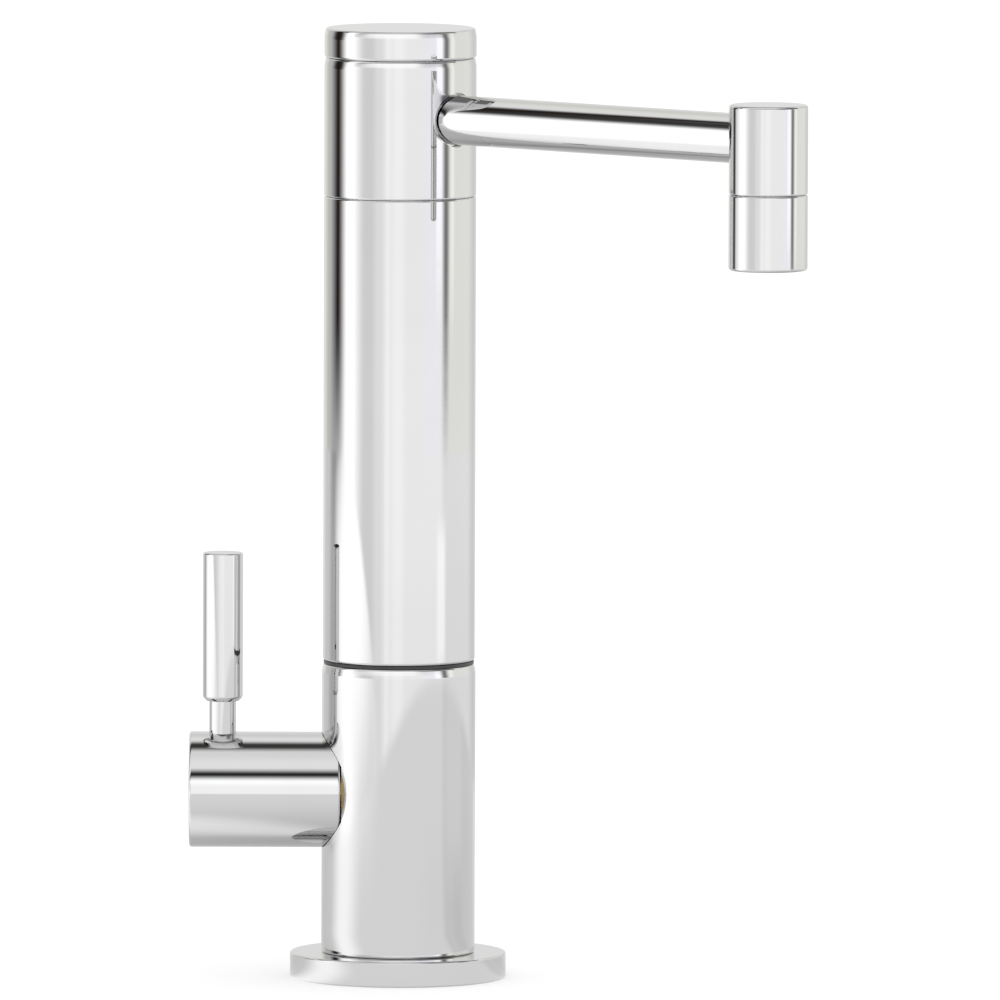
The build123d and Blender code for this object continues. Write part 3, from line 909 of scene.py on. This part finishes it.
@dataclass
class ValveBody(SubAssembly):
    """The lower column that holds the cartridge and the pocket for the lever's hub."""

    socket_top: float = 21.4
    post_radius: float = 9.03
    post_floor: float = 62.5
    pocket_radius: float = 14.65
    pocket_floor: float = 14.2
    pocket_reach: float = 42.6
    thread_radius: float = 9.03
    thread_start: float = 10.0
    bore_radius: float = 8.55
    bore_start: float = -4.0
    chamber_radius: float = 11.0
    chamber_start: float = 2.1
    chamber_end: float = 6.77
    cross_drill_radius: float = 3.0
    cross_drill_start: float = -10.0
    drill_radius: float = 2.5
    drill_past: float = 1.0
    inlet_drill: float = 7.5
    outlet_drill: float = -4.45
    outlet_drill_rise: float = 8.0
    foot_round: float = 0.5

    def barrel_cutter(self) -> bpy.types.Object:
        """Turns the stepped cutter of the barrel's bores and sets it on the barrel's axis."""
        outline = steps(
            self.cross_drill_start,
            (self.cross_drill_radius, self.bore_start),
            (self.bore_radius, self.chamber_start),
            (self.chamber_radius, self.chamber_end),
            (self.bore_radius, self.thread_start),
            (self.thread_radius, self.pocket_floor),
            (self.pocket_radius, self.pocket_reach),
        )
        return self.cutter("barrel_cutter", outline, Faces.MIRROR, self.column.barrel())

    def drill(self, x: float, low: float, high: float) -> bpy.types.Object:
        """Makes a drill for a waterway that runs up the column, at a place along X."""
        outline = steps(low, (self.drill_radius, high))
        return self.cutter("drill", outline, Faces.DRILL, Place(origin=(x, 0, 0)))

    def build(self) -> None:
        """Turns the lower column, then cuts the hub's pocket and the waterways."""
        column, past = self.column, self.drill_past
        bottom, top, radius = column.body_bottom, column.body_top, column.body_radius
        socket = column.shank_radius + column.fit
        outline = [
            *steps(self.socket_top, (socket, bottom)),
            (radius, bottom),
            *rolled(radius, top),
            *steps(top, (self.post_radius, self.post_floor)),
        ]
        rounds = {2: self.foot_round, 2 + len(ROLL): column.rim_round}
        cutters = (
            self.barrel_cutter(),
            self.drill(self.inlet_drill, self.socket_top - past, column.valve_height),
            self.drill(
                self.outlet_drill, column.valve_height + self.outlet_drill_rise, self.post_floor + past
            ),
        )
        self.turn(
            "lower_column", "lower_body", Metal.CHROME, Body.DECK, outline, Ends.CAPPED, Faces.MIRROR,
            rounds, cutters=cutters,
        )


@dataclass
class Lever(SubAssembly):
    """The barrel that turns as the lever's hub, with its neck and stick."""

    hub_radius: float = 14.45
    hub_start: float = 14.5
    hub_end: float = 52.3
    hub_round: float = 0.65
    hub_wall: float = 2.25
    cavity_end: float = 26.55
    socket_radius: float = 3.53
    socket_end: float = 39.55
    cut_past: float = 2.0
    station: float = 44.0
    stud_radius: float = 3.0
    stud_depth: float = 8.6
    neck_radius: float = 3.35
    seat_depth: float = 0.55
    neck_length: float = 7.8
    grip_radius: float = 5.0
    grip_length: float = 37.25
    grip_taper: float = 1.0
    grip_foot_round: float = 0.15
    grip_taper_round: float = 0.3
    grip_round: float = 0.45
    grip_stud_radius: float = 2.5
    grip_stud_length: float = 8.0
    grip_stud_gap: float = 0.3
    grub_station: float = 32.55
    grub_radius: float = 2.53

    def upright(self, station: float) -> Place:
        """Place of pieces that are turned about an upright axis through the barrel."""
        return Place(origin=(-station, 0.0, self.column.valve_height))

    def hub(self) -> None:
        """Turns the hub, and cuts the stick's seat and the grub screw's hole."""
        radius, fit, past = self.hub_radius, self.column.fit, self.cut_past
        socket, cavity = (self.socket_radius, self.cavity_end), (radius - self.hub_wall, self.hub_start)
        outline = steps(self.socket_end, socket, cavity, (radius, self.hub_end))
        stud = (self.stud_radius + fit, radius - self.seat_depth)
        seat = steps(radius - self.stud_depth, stud, (self.neck_radius + fit, radius + past))
        grub = steps(-radius - past, (self.grub_radius, -past))
        cutters = (
            self.cutter("seat_cutter", seat, Faces.SEAT, self.upright(self.station)),
            self.cutter("grub_cutter", grub, Faces.HOLE, self.upright(self.grub_station)),
        )
        rounds = {4: self.hub_round, 5: self.hub_round}
        hub = self.turn(
            "lever_hub", "handle_hub", Metal.CHROME, Body.LEVER, outline, Ends.CAPPED, Faces.MIRROR,
            rounds, self.column.barrel(), cutters,
        )
        # The hub's inner end gets brass: partly its unplated face, partly painted shade for the narrow gap
        # beside the lower column.
        self.bench.bare_and_shaded_end(hub, Metal.BRASS, -self.hub_start)

    def neck(self) -> None:
        """Turns the neck with the studs at its two ends."""
        top = self.hub_radius + self.neck_length
        outline = steps(
            self.hub_radius - self.stud_depth,
            (self.stud_radius, self.hub_radius - self.seat_depth),
            (self.neck_radius, top),
            (self.grip_stud_radius, top + self.grip_stud_length),
        )
        self.turn(
            "lever_neck_bar", "lever_neck", Metal.CHROME, Body.LEVER, outline, Ends.CAPPED, Faces.SMALL,
            place=self.upright(self.station),
        )

    def grip(self) -> None:
        """Turns the stick, with a tapered lower end and a rounded top edge."""
        low = self.hub_radius + self.neck_length
        high = low + self.grip_length
        hole = self.grip_stud_radius + self.column.fit
        outline = [
            *steps(low + self.grip_stud_length + self.grip_stud_gap, (hole, low)),
            (self.grip_radius - self.grip_taper, low),
            *steps(low + self.grip_taper, (self.grip_radius, high)),
        ]
        rounds = {2: self.grip_foot_round, 3: self.grip_taper_round, 4: self.grip_round}
        self.turn(
            "lever_stick", "lever_grip", Metal.CHROME, Body.LEVER, outline, Ends.CAPPED, Faces.MEDIUM,
            rounds, self.upright(self.station),
        )

    def build(self) -> None:
        """Builds the hub, the neck and the stick."""
        self.hub()
        self.neck()
        self.grip()


@dataclass
class Spout(SubAssembly):
    """The straight arm, the outlet and the aerator's collar."""

    azimuth: float = -41.67
    reach: float = 121.6
    radius: float = 6.175
    bore: float = 4.675
    bore_start: float = 1.0
    head_seat: float = 14.0
    root_gap: float = 0.65
    root_depth: float = 1.4
    outlet_seat: float = 115.4
    outlet_radius: float = 9.75
    outlet_top: float = 224.7
    outlet_seam: float = 202.6
    outlet_bottom: float = 183.85
    outlet_round: float = 0.5
    outlet_rim_round: float = 0.8
    mouth_round: float = 0.2
    outlet_bore: float = 5.0
    outlet_bore_top: float = 220.525
    thread_radius: float = 7.6
    thread_top: float = 207.9
    cavity_radius: float = 8.2
    cavity_top: float = 194.45
    waterway_radius: float = 5.5
    spigot_top: float = 207.6

    def direction(self) -> Triple:
        """Direction of the arm from the column."""
        angle = math.radians(self.azimuth)
        return (math.cos(angle), math.sin(angle), 0.0)

    def arm_place(self) -> Place:
        """Place of pieces that are turned about the arm's axis."""
        return Place((0.0, 0.0, self.column.arm_height), self.direction(), (0.0, 0.0, 1.0))

    def outlet_place(self) -> Place:
        """Place of pieces that are turned about the outlet's axis."""
        x, y, _ = self.direction()
        return Place(origin=(self.reach * x, self.reach * y, 0.0))

    def seat_cutter(self, outline: Sequence[Point]) -> bpy.types.Object:
        """Turns a cutter on the arm's axis, from an outline that is measured along the arm."""
        return self.cutter("seat_cutter", outline, Faces.MEDIUM, self.arm_place())

    def head_seat_cutter(self) -> bpy.types.Object:
        """Cutter of the arm's seat in the head, with the waterway behind it."""
        seat = self.radius + self.column.fit
        return self.seat_cutter(steps(self.bore_start, (self.bore, self.head_seat), (seat, self.reach / 3)))

    def root_cutter(self) -> bpy.types.Object:
        """Cutter of the shallow groove round the arm's root, as deep all the way round."""
        mouth, core = self.radius + self.root_gap, self.column.radius - self.root_depth
        cutter = self.seat_cutter(steps(self.head_seat, (mouth, self.reach / 3)))
        floor = steps(self.column.riser_top, (core, self.column.head_top))
        self.bench.join(Join.CUT, cutter, self.cutter("groove_floor", floor, Faces.MIRROR))
        return cutter

    def arm(self) -> None:
        """Turns the arm's tube."""
        outline = ring(self.bore, self.radius, self.head_seat, self.outlet_seat)
        self.turn(
            "arm_tube", "spout_arm", Metal.CHROME, Body.SPOUT, outline, Ends.JOINED, Faces.LARGE,
            place=self.arm_place(),
        )

    def outlet(self) -> None:
        """Turns the outlet's body and cuts the arm's seat in it."""
        outline = steps(
            self.outlet_bore_top,
            (self.outlet_bore, self.thread_top),
            (self.thread_radius, self.outlet_seam),
            (self.outlet_radius, self.outlet_top),
        )
        rounds = {4: self.outlet_round, 5: self.outlet_rim_round}
        seat = (self.radius + self.column.fit, self.outlet_seat)
        cutters = (self.seat_cutter(steps(self.reach / 2, seat, (self.bore, self.reach))),)
        self.turn(
            "outlet", "outlet_body", Metal.CHROME, Body.SPOUT, outline, Ends.CAPPED, Faces.LARGE,
            rounds, self.outlet_place(), cutters,
        )

    def collar(self) -> None:
        """Turns the aerator's collar below the outlet's seam."""
        low, spigot = self.outlet_bottom, self.thread_radius - self.column.fit
        outline = [
            (self.cavity_radius, low),
            *steps(low, (self.outlet_radius, self.outlet_seam), (spigot, self.spigot_top)),
            *steps(self.spigot_top, (self.waterway_radius, self.cavity_top)),
            (self.cavity_radius, self.cavity_top),
        ]
        rounds = {0: self.mouth_round, 1: self.outlet_rim_round, 2: self.outlet_round}
        self.turn(
            "aerator_collar", "aerator_housing", Metal.CHROME, Body.SPOUT, outline, Ends.JOINED,
            Faces.LARGE, rounds, self.outlet_place(),
        )

    def build(self) -> None:
        """Builds the arm, the outlet and the collar."""
        self.arm()
        self.outlet()
        self.collar()


@dataclass
class SwivelColumn(SubAssembly):
    """The upper column that turns on the lower one: washer, riser, head and cap."""

    spout: Spout
    washer_radius: float = 18.8
    washer_bore: float = 9.3
    washer_round: float = 0.12
    spigot_radius: float = 15.97
    spigot_bottom: float = 187.05
    tube_seat_radius: float = 5.03
    ring_groove_radius: float = 5.96
    ring_groove: Point = (193.98, 195.12)
    chamber_radius: float = 11.0
    chamber_floor: float = 202.05
    cap_bore: float = 14.0
    cap_spigot_radius: float = 13.97
    cap_spigot_bottom: float = 222.5
    cap_groove_radius: float = 12.34
    cap_groove: Point = (223.98, 225.82)
    joint_round: float = 0.5

    def washer(self) -> None:
        """Turns the black washer that shows as the seam under the riser."""
        outline = ring(self.washer_bore, self.washer_radius, self.column.body_top, self.column.washer_top)
        rounds = {1: self.washer_round, 2: self.washer_round}
        self.turn(
            "swivel_seam", "swivel_washer", Metal.BLACK_PLASTIC, Body.DECK, outline, Ends.JOINED,
            Faces.SMALL, rounds,
        )

    def riser(self) -> None:
        """Turns the riser's tube."""
        column = self.column
        outline = ring(column.riser_bore, column.radius, column.washer_top, column.riser_top)
        rounds = {1: column.seam_round, 2: self.joint_round}
        self.turn(
            "riser", "riser_column", Metal.CHROME, Body.SPOUT, outline, Ends.JOINED, Faces.MIRROR, rounds
        )

    def head(self) -> None:
        """Turns the spout's head and cuts the arm's seat."""
        column = self.column
        low, high, radius = column.riser_top, column.head_top, column.radius
        groove_low, groove_high = self.ring_groove
        outline = [
            (self.tube_seat_radius, self.spigot_bottom),
            *steps(self.spigot_bottom, (self.spigot_radius, low)),
            (radius, low),
            *rolled(radius, high),
            *steps(high, (self.cap_bore, self.cap_spigot_bottom), (self.chamber_radius, self.chamber_floor)),
            *steps(self.chamber_floor, (self.tube_seat_radius, groove_high)),
            *steps(groove_high, (self.ring_groove_radius, groove_low)),
            (self.tube_seat_radius, groove_low),
        ]
        rounds = {3: self.joint_round, 3 + len(ROLL): column.rim_round}
        self.turn(
            "spout_head_block", "spout_head", Metal.CHROME, Body.SPOUT, outline, Ends.JOINED,
            Faces.MIRROR, rounds, cutters=(self.spout.head_seat_cutter(), self.spout.root_cutter()),
        )

    def cap(self) -> None:
        """Turns the cap with its grooved spigot."""
        column = self.column
        low, high, radius = column.head_top, column.cap_top, column.radius
        outline = [
            *steps(self.cap_spigot_bottom, (self.cap_spigot_radius, self.cap_groove[0])),
            *steps(self.cap_groove[0], (self.cap_groove_radius, self.cap_groove[1])),
            *steps(self.cap_groove[1], (self.cap_spigot_radius, low)),
            (radius, low),
            *rolled(radius, high),
        ]
        rounds = {6: column.seam_round, 6 + len(ROLL): column.rim_round}
        self.turn("cap", "top_cap", Metal.CHROME, Body.SPOUT, outline, Ends.CAPPED, Faces.MIRROR, rounds)

    def build(self) -> None:
        """Builds the column's upper pieces."""
        self.washer()
        self.riser()
        self.head()
        self.cap()


# Studio


@dataclass(frozen=True)
class Screen:
    """A vertical screen of the light tent, as the chrome sees it.

    Attributes:
        centre: Its middle, in degrees from the user's side towards +X.
        inner: Half its full width in degrees.
        outer: Half its width where its soft edge ends.
        tone: How bright the chrome shows it.
        above: Elevations between which it fades in, if it doesn't reach down to the table.
        below: Elevations between which it fades in from its upper edge, if it has one.
    """

    centre: float
    inner: float
    outer: float
    tone: float
    above: Point | None = None
    below: Point | None = None


def hang(
    sheet: NodeSheet, azimuth: object, tone: object, screens: Sequence[Screen], elevation: object = None
) -> object:
    """Lays screens over a tone, one after another.

    Args:
        sheet: The nodes to add to.
        azimuth: Angle of the place or direction, in degrees.
        tone: The tone under the screens.
        screens: The screens to lay over it.
        elevation: Elevation of the direction, or None on the table.

    Returns:
        The tone with the screens.
    """
    for screen in screens:
        if screen.above and elevation is None:
            continue
        mask = sheet.band(azimuth, screen.centre, screen.inner, screen.outer)
        edges = [sheet.rise(elevation, *edge) for edge in (screen.above, screen.below) if edge]
        tone = sheet.blend(sheet.product(mask, *edges), tone, screen.tone)
    return tone


def show_in_chrome_only(prop: bpy.types.Object, made: bpy.types.Material) -> None:
    """Gives a studio prop its material, and hides it from everything but reflections.

    Args:
        prop: The prop.
        made: Its glowing material.
    """
    prop.visible_camera = False
    prop.visible_diffuse = False
    prop.visible_transmission = False
    prop.visible_shadow = False
    made.cycles.emission_sampling = "NONE"
    prop.data.materials.append(made)


@dataclass
class Lens:
    """The long lens that the photograph was fitted with, in metres and degrees."""

    focal_pixels: float = 20809.0
    image_width: float = 1000.0
    sensor: float = 36.0
    position: Triple = (0.02518, -5.1808, 0.5753)
    pitch: float = 5.024
    roll: float = 0.199
    clip: Point = (0.1, 100.0)

    def build(self) -> None:
        """Makes the camera and sets it."""
        data = bpy.data.cameras.new("camera")
        data.sensor_width = self.sensor
        data.lens = self.focal_pixels * self.sensor / self.image_width
        data.clip_start, data.clip_end = self.clip
        camera = bpy.data.objects.new("camera", data)
        bpy.context.scene.collection.objects.link(camera)
        pitch, roll = math.radians(self.pitch), math.radians(self.roll)
        right = Vector((1, 0, 0))
        up = Vector((0, math.sin(pitch), math.cos(pitch)))
        forward = Vector((0, math.cos(pitch), -math.sin(pitch)))
        tilted_right = right * math.cos(roll) + up * math.sin(roll)
        tilted_up = up * math.cos(roll) - right * math.sin(roll)
        turn = turn_to(tilted_right, tilted_up, -forward)
        camera.matrix_world = Matrix.Translation(self.position) @ turn
        bpy.context.scene.camera = camera


@dataclass
class Tent:
    """The world: white for the camera and the shadows, a tent of pale cloth in the chrome.

    Angles are in degrees. A tone is what the chrome shows, so the tent itself is brighter by
    the chrome's reflectance. A wall is given by its middle and the halves of its full width and
    of its width with its soft edges.
    """

    reflectance: float = 0.66
    wall_tone: float = 0.70
    screens: tuple[Screen, ...] = (
        Screen(22, 41, 53, 0.80),
        Screen(-2, 2, 14, 0.86),
        Screen(-18, 1, 6, 0.85),
        Screen(-49, 4, 16, 0.60),
        Screen(-160, 12, 40, 0.615),
        Screen(160, 8, 38, 0.52),
        Screen(-130, 5, 27, 0.44),
        Screen(180, 6, 24, 0.54),
        Screen(-83, 4, 24.5, 1.06),
        Screen(-109, 2, 18, 0.02, (-3.4, -2.0)),
        Screen(62, 2, 8, 0.97, (-4.6, -4.15)),
        Screen(74.5, 0.5, 9, 0.17, (-5.05, -4.35)),
        Screen(87, 1, 6, 0.83, (-4.65, -4.3)),
    )
    roof_edge: Point = (9.0, 20.0)
    roof_tone: float = 0.98
    roof_steps: tuple[Triple, ...] = (
        (30, 46, 0.72), (58, 82, 0.63), (100, 116, 0.68), (126, 142, 0.56), (150, 166, 0.60)
    )
    roof_gaps: tuple[tuple[float, float, float, float], ...] = (
        (35.3, 0.7, 14.7, 0.02), (102.6, 3, 19, 0.055)
    )
    roof_shade: Screen = Screen(66, 20, 46, 0.18, (10, 22), (62, 48))
    white_across: Point = (-1.0, -1.9)
    white_over: Point = (104, 96)
    white_tone: float = 1.03
    least_height: float = 0.02
    warm_walls: tuple[Triple, ...] = ((108, 24, 40), (-155, 12, 28))
    warm_blue: float = 0.953
    cool_wall: Triple = (52, 8, 20)
    cool_blue: float = 1.045

    def roof(self, sheet: NodeSheet, x: Socket, y: Socket, z: Socket) -> object:
        """Tone of the tent's roof, which has a dark gap in front and one behind.

        Args:
            sheet: The world's nodes.
            x: Direction along X.
            y: Direction along Y.
            z: Direction along Z.

        Returns:
            The tone that the chrome shows.
        """
        over = sheet.azimuth(z, y)
        tone = self.roof_tone
        for start, end, level in self.roof_steps:
            tone = sheet.blend(sheet.rise(over, start, end), tone, level)
        across = sheet.math("DIVIDE", x, sheet.math("MAXIMUM", z, self.least_height))
        white = sheet.product(sheet.rise(across, *self.white_across), sheet.rise(over, *self.white_over))
        tone = sheet.blend(white, tone, self.white_tone)
        for middle, inner, outer, floor in self.roof_gaps:
            gap = sheet.band(over, middle, inner, outer)
            tone = sheet.product(tone, sheet.blend(gap, 1.0, floor))
        return tone

    def build(self) -> None:
        """Makes the world."""
        world = bpy.data.worlds.new("tent")
        bpy.context.scene.world = world
        world.use_nodes = True
        sheet = NodeSheet(world.node_tree)
        x, y, z = sheet.axes("Generated")
        azimuth, elevation = sheet.azimuth(x, y), sheet.math("DEGREES", sheet.math("ARCSINE", z))
        tone = hang(sheet, azimuth, self.wall_tone, self.screens, elevation)
        tone = sheet.blend(sheet.rise(elevation, *self.roof_edge), tone, self.roof(sheet, x, y, z))
        tone = hang(sheet, azimuth, tone, [self.roof_shade], elevation)
        warm = sheet.math("MAXIMUM", *(sheet.band(azimuth, *wall) for wall in self.warm_walls))
        cool = sheet.blend(sheet.band(azimuth, *self.cool_wall), 1.0, self.cool_blue)
        colour = sheet.grey(tone, sheet.blend(warm, cool, self.warm_blue))
        plain = sheet.add("Background", {"Color": (1, 1, 1, 1), "Strength": 1.0})
        cloth = sheet.add("Background", {"Color": colour, "Strength": 1 / self.reflectance})
        rays = sheet.add("LightPath")
        sheet.surface(sheet.choose(rays.outputs["Is Glossy Ray"], plain, cloth), "OutputWorld")


@dataclass
class Floor:
    """The white floor that keeps the faucet's soft shadow.

    It lies a hair above the deck's plane, so that the flange's under side shows from below.
    """

    bench: Bench
    reach: float = 30.0
    lift: float = 6e-5
    grey: float = 0.62
    glow: float = 0.45

    def build(self) -> None:
        """Lays the floor, which glows for the camera alone."""
        floor = self.bench.disc("floor", self.reach, self.lift)
        floor.visible_glossy = False
        made, sheet = NodeSheet.of_material("white_floor")
        matte = sheet.add("BsdfDiffuse", {"Color": (self.grey, self.grey, self.grey, 1)})
        rays = sheet.add("LightPath").outputs
        seen = sheet.math("MAXIMUM", rays["Is Camera Ray"], rays["Is Transmission Ray"])
        strength = sheet.product(seen, self.glow)
        glow = sheet.add("Emission", {"Color": (1, 1, 1, 1), "Strength": strength})
        sheet.surface(sheet.add("AddShader", {0: matte.outputs[0], 1: glow.outputs[0]}))
        floor.data.materials.append(made)


@dataclass
class Flag:
    """The narrow black flag that hangs beside the column, out of the picture."""

    bench: Bench
    radius: float = 0.13
    bottom: float = 0.092
    height: float = 0.5
    fade: float = 0.068
    near_edge: Point = (-80.0, -102.0)
    far_edge: Point = (-126.0, -102.0)
    colour: Triple = (0.022, 0.015, 0.012)

    def build(self) -> None:
        """Hangs the flag: a cloth that is clear outside its soft edges."""
        self.bench.clear_selection()
        bpy.ops.mesh.primitive_cylinder_add(
            vertices=Faces.HOLE.value, radius=self.radius, depth=self.height, end_fill_type="NOTHING",
            location=(0, 0, self.bottom + self.height / 2),
        )
        flag = self.bench.new_piece("flag")
        made, sheet = NodeSheet.of_material("black_flag")
        x, y, z = sheet.axes("Object")
        azimuth = sheet.azimuth(x, y)
        sides = [sheet.rise(azimuth, *edge) for edge in (self.near_edge, self.far_edge)]
        mask = sheet.product(*sides, sheet.rise(z, self.bottom, self.bottom + self.fade))
        cloth = sheet.add("Emission", {"Color": (*self.colour, 1), "Strength": 1.0})
        sheet.surface(sheet.choose(mask, sheet.add("BsdfTransparent"), cloth))
        show_in_chrome_only(flag, made)


@dataclass
class TableTop:
    """The grey table top, with a white sheet on its left half, that only the chrome sees.

    Distances are in metres from the column, angles in degrees and tones as in the tent. Its far
    zone repeats the tent's screens, and its near zone has screens of its own. The table glows, and
    its tones paint light on it: a painted shadow of the faucet and a painted sheen.
    """

    bench: Bench
    tent: Tent
    radius: float = 1.56
    far_screens: tuple[Screen, ...] = (Screen(-136, 8, 22, 0.52), Screen(-119.5, 1, 15, 0.37))
    far_dimming: float = 0.95
    far_dimming_reach: Point = (0.6, 1.5)
    streak: Triple = (67, 3, 11)
    streak_start: Point = (0.78, 0.92)
    streak_end: Point = (1.38, 1.2)
    streak_tone: float = 0.92
    near_tone: float = 0.555
    near_screens: tuple[Screen, ...] = (
        Screen(-4, 68, 80, 0.645),
        Screen(-160, 20, 40, 0.51),
        Screen(-86, 3, 34, 0.91),
        Screen(165, 4, 20, 0.615),
        Screen(98, 4, 16, 0.525),
        Screen(180, 6, 24, 0.50),
    )
    near_centre: Point = (0.2, -0.135)
    near_reach: Point = (0.62, 0.535)
    twist: float = -20.0
    twist_reach: Point = (0.13, 0.05)
    patch: Triple = (92, 10, 24)
    patch_reach: Point = (0.16, 0.4)
    patch_tone: float = 0.6
    painted_sheen_blend: float = 0.5
    painted_sheen_dimming: float = 0.88
    shadow_edge: Point = (-0.16, 0.06)
    shadow_reach: Point = (0.5, 0.15)
    shadow_dimming: float = 0.66
    sheet_sides: tuple[Point, Point] = ((-118, -90), (-22, -62))
    sheet_start: Point = (0.1, 1.0)
    sheet_centre: Point = (-0.75, 0.1)
    sheet_reach: Point = (0.84, 0.74)
    sheet_tone: float = 1.0

    def far_zone(self, sheet: NodeSheet, azimuth: Socket, distance: Socket) -> Socket:
        """Tone of the table away from the faucet.

        Args:
            sheet: The table's nodes.
            azimuth: Angle of the place, in degrees.
            distance: Its distance from the column.

        Returns:
            The tone that the chrome shows.
        """
        tone = hang(sheet, azimuth, self.tent.wall_tone, self.tent.screens)
        tone = hang(sheet, azimuth, tone, self.far_screens)
        ends = [sheet.rise(distance, *edge) for edge in (self.streak_start, self.streak_end)]
        streak = sheet.product(*ends, sheet.band(azimuth, *self.streak))
        tone = sheet.blend(streak, tone, self.streak_tone)
        dimming = sheet.blend(sheet.rise(distance, *self.far_dimming_reach), self.far_dimming, 1.0)
        return sheet.product(tone, dimming)

    def near_zone(self, sheet: NodeSheet, x: Socket, y: Socket, azimuth: Socket, distance: Socket) -> Socket:
        """Tone of the table round the faucet, with a painted sheen and a painted shadow of the faucet.

        Args:
            sheet: The table's nodes.
            x: Place along X.
            y: Place along Y.
            azimuth: Angle of the place, in degrees.
            distance: Its distance from the column.

        Returns:
            The tone that the chrome shows.
        """
        # Painted sheen: the glowing table is made darker where it is seen steeply.
        slant = sheet.add("LayerWeight", {"Blend": self.painted_sheen_blend}).outputs["Facing"]
        twist = sheet.product(sheet.rise(distance, *self.twist_reach), self.twist)
        tone = hang(sheet, sheet.math("ADD", azimuth, twist), self.near_tone, self.near_screens)
        patch = sheet.product(sheet.band(azimuth, *self.patch), sheet.rise(distance, *self.patch_reach))
        tone = sheet.blend(patch, tone, self.patch_tone)
        tone = sheet.product(tone, sheet.blend(slant, self.painted_sheen_dimming, 1.0))
        # Painted shadow of the faucet, behind the column on the glowing table, deeper where it is seen
        # steeply.
        shadow = sheet.product(
            sheet.rise(sheet.math("ADD", x, y), *self.shadow_edge),
            sheet.rise(distance, *self.shadow_reach),
            sheet.math("SUBTRACT", 1.0, slant),
        )
        return sheet.product(tone, sheet.blend(shadow, 1.0, self.shadow_dimming))

    def tone(self, sheet: NodeSheet) -> Socket:
        """Tone of the table top, place by place.

        Args:
            sheet: The table's nodes.

        Returns:
            The tone that the chrome shows.
        """
        x, y, _ = sheet.axes("Object")
        azimuth, distance = sheet.azimuth(x, y), sheet.distance(x, y)
        far = self.far_zone(sheet, azimuth, distance)
        near = self.near_zone(sheet, x, y, azimuth, distance)
        nearness = sheet.rise(sheet.distance(x, y, self.near_centre), *self.near_reach)
        white = sheet.product(
            *(sheet.rise(azimuth, *side) for side in self.sheet_sides),
            sheet.rise(distance, *self.sheet_start),
            sheet.rise(sheet.distance(x, y, self.sheet_centre), *self.sheet_reach),
        )
        return sheet.blend(white, sheet.blend(nearness, far, near), self.sheet_tone)

    def build(self) -> None:
        """Lays the table top."""
        table = self.bench.disc("table_top", self.radius)
        made, sheet = NodeSheet.of_material("table_top")
        look = {"Color": sheet.grey(self.tone(sheet)), "Strength": 1 / self.tent.reflectance}
        sheet.surface(sheet.add("Emission", look))
        show_in_chrome_only(table, made)


def main() -> None:
    """Builds the faucet's visible pieces, then the studio."""
    logging.basicConfig(level=logging.INFO, format="%(name)s: %(message)s")
    bench, column, tent = Bench(), Column(), Tent()
    bench.materials = {finish.slot: finish.material() for finish in FINISHES}
    spout = Spout(bench, column)
    parts = (
        BaseFlange(bench, column),
        DeckClamp(bench, column),
        ValveBody(bench, column),
        Lever(bench, column),
        SwivelColumn(bench, column, spout),
        spout,
    )
    for part in parts:
        part.build()
    bench.dress_cad_nodes()
    for prop in (Lens(), tent, Floor(bench), TableTop(bench, tent), Flag(bench)):
        prop.build()
    bpy.context.scene.view_settings.view_transform = "Standard"


if __name__ == "__main__":
    main()
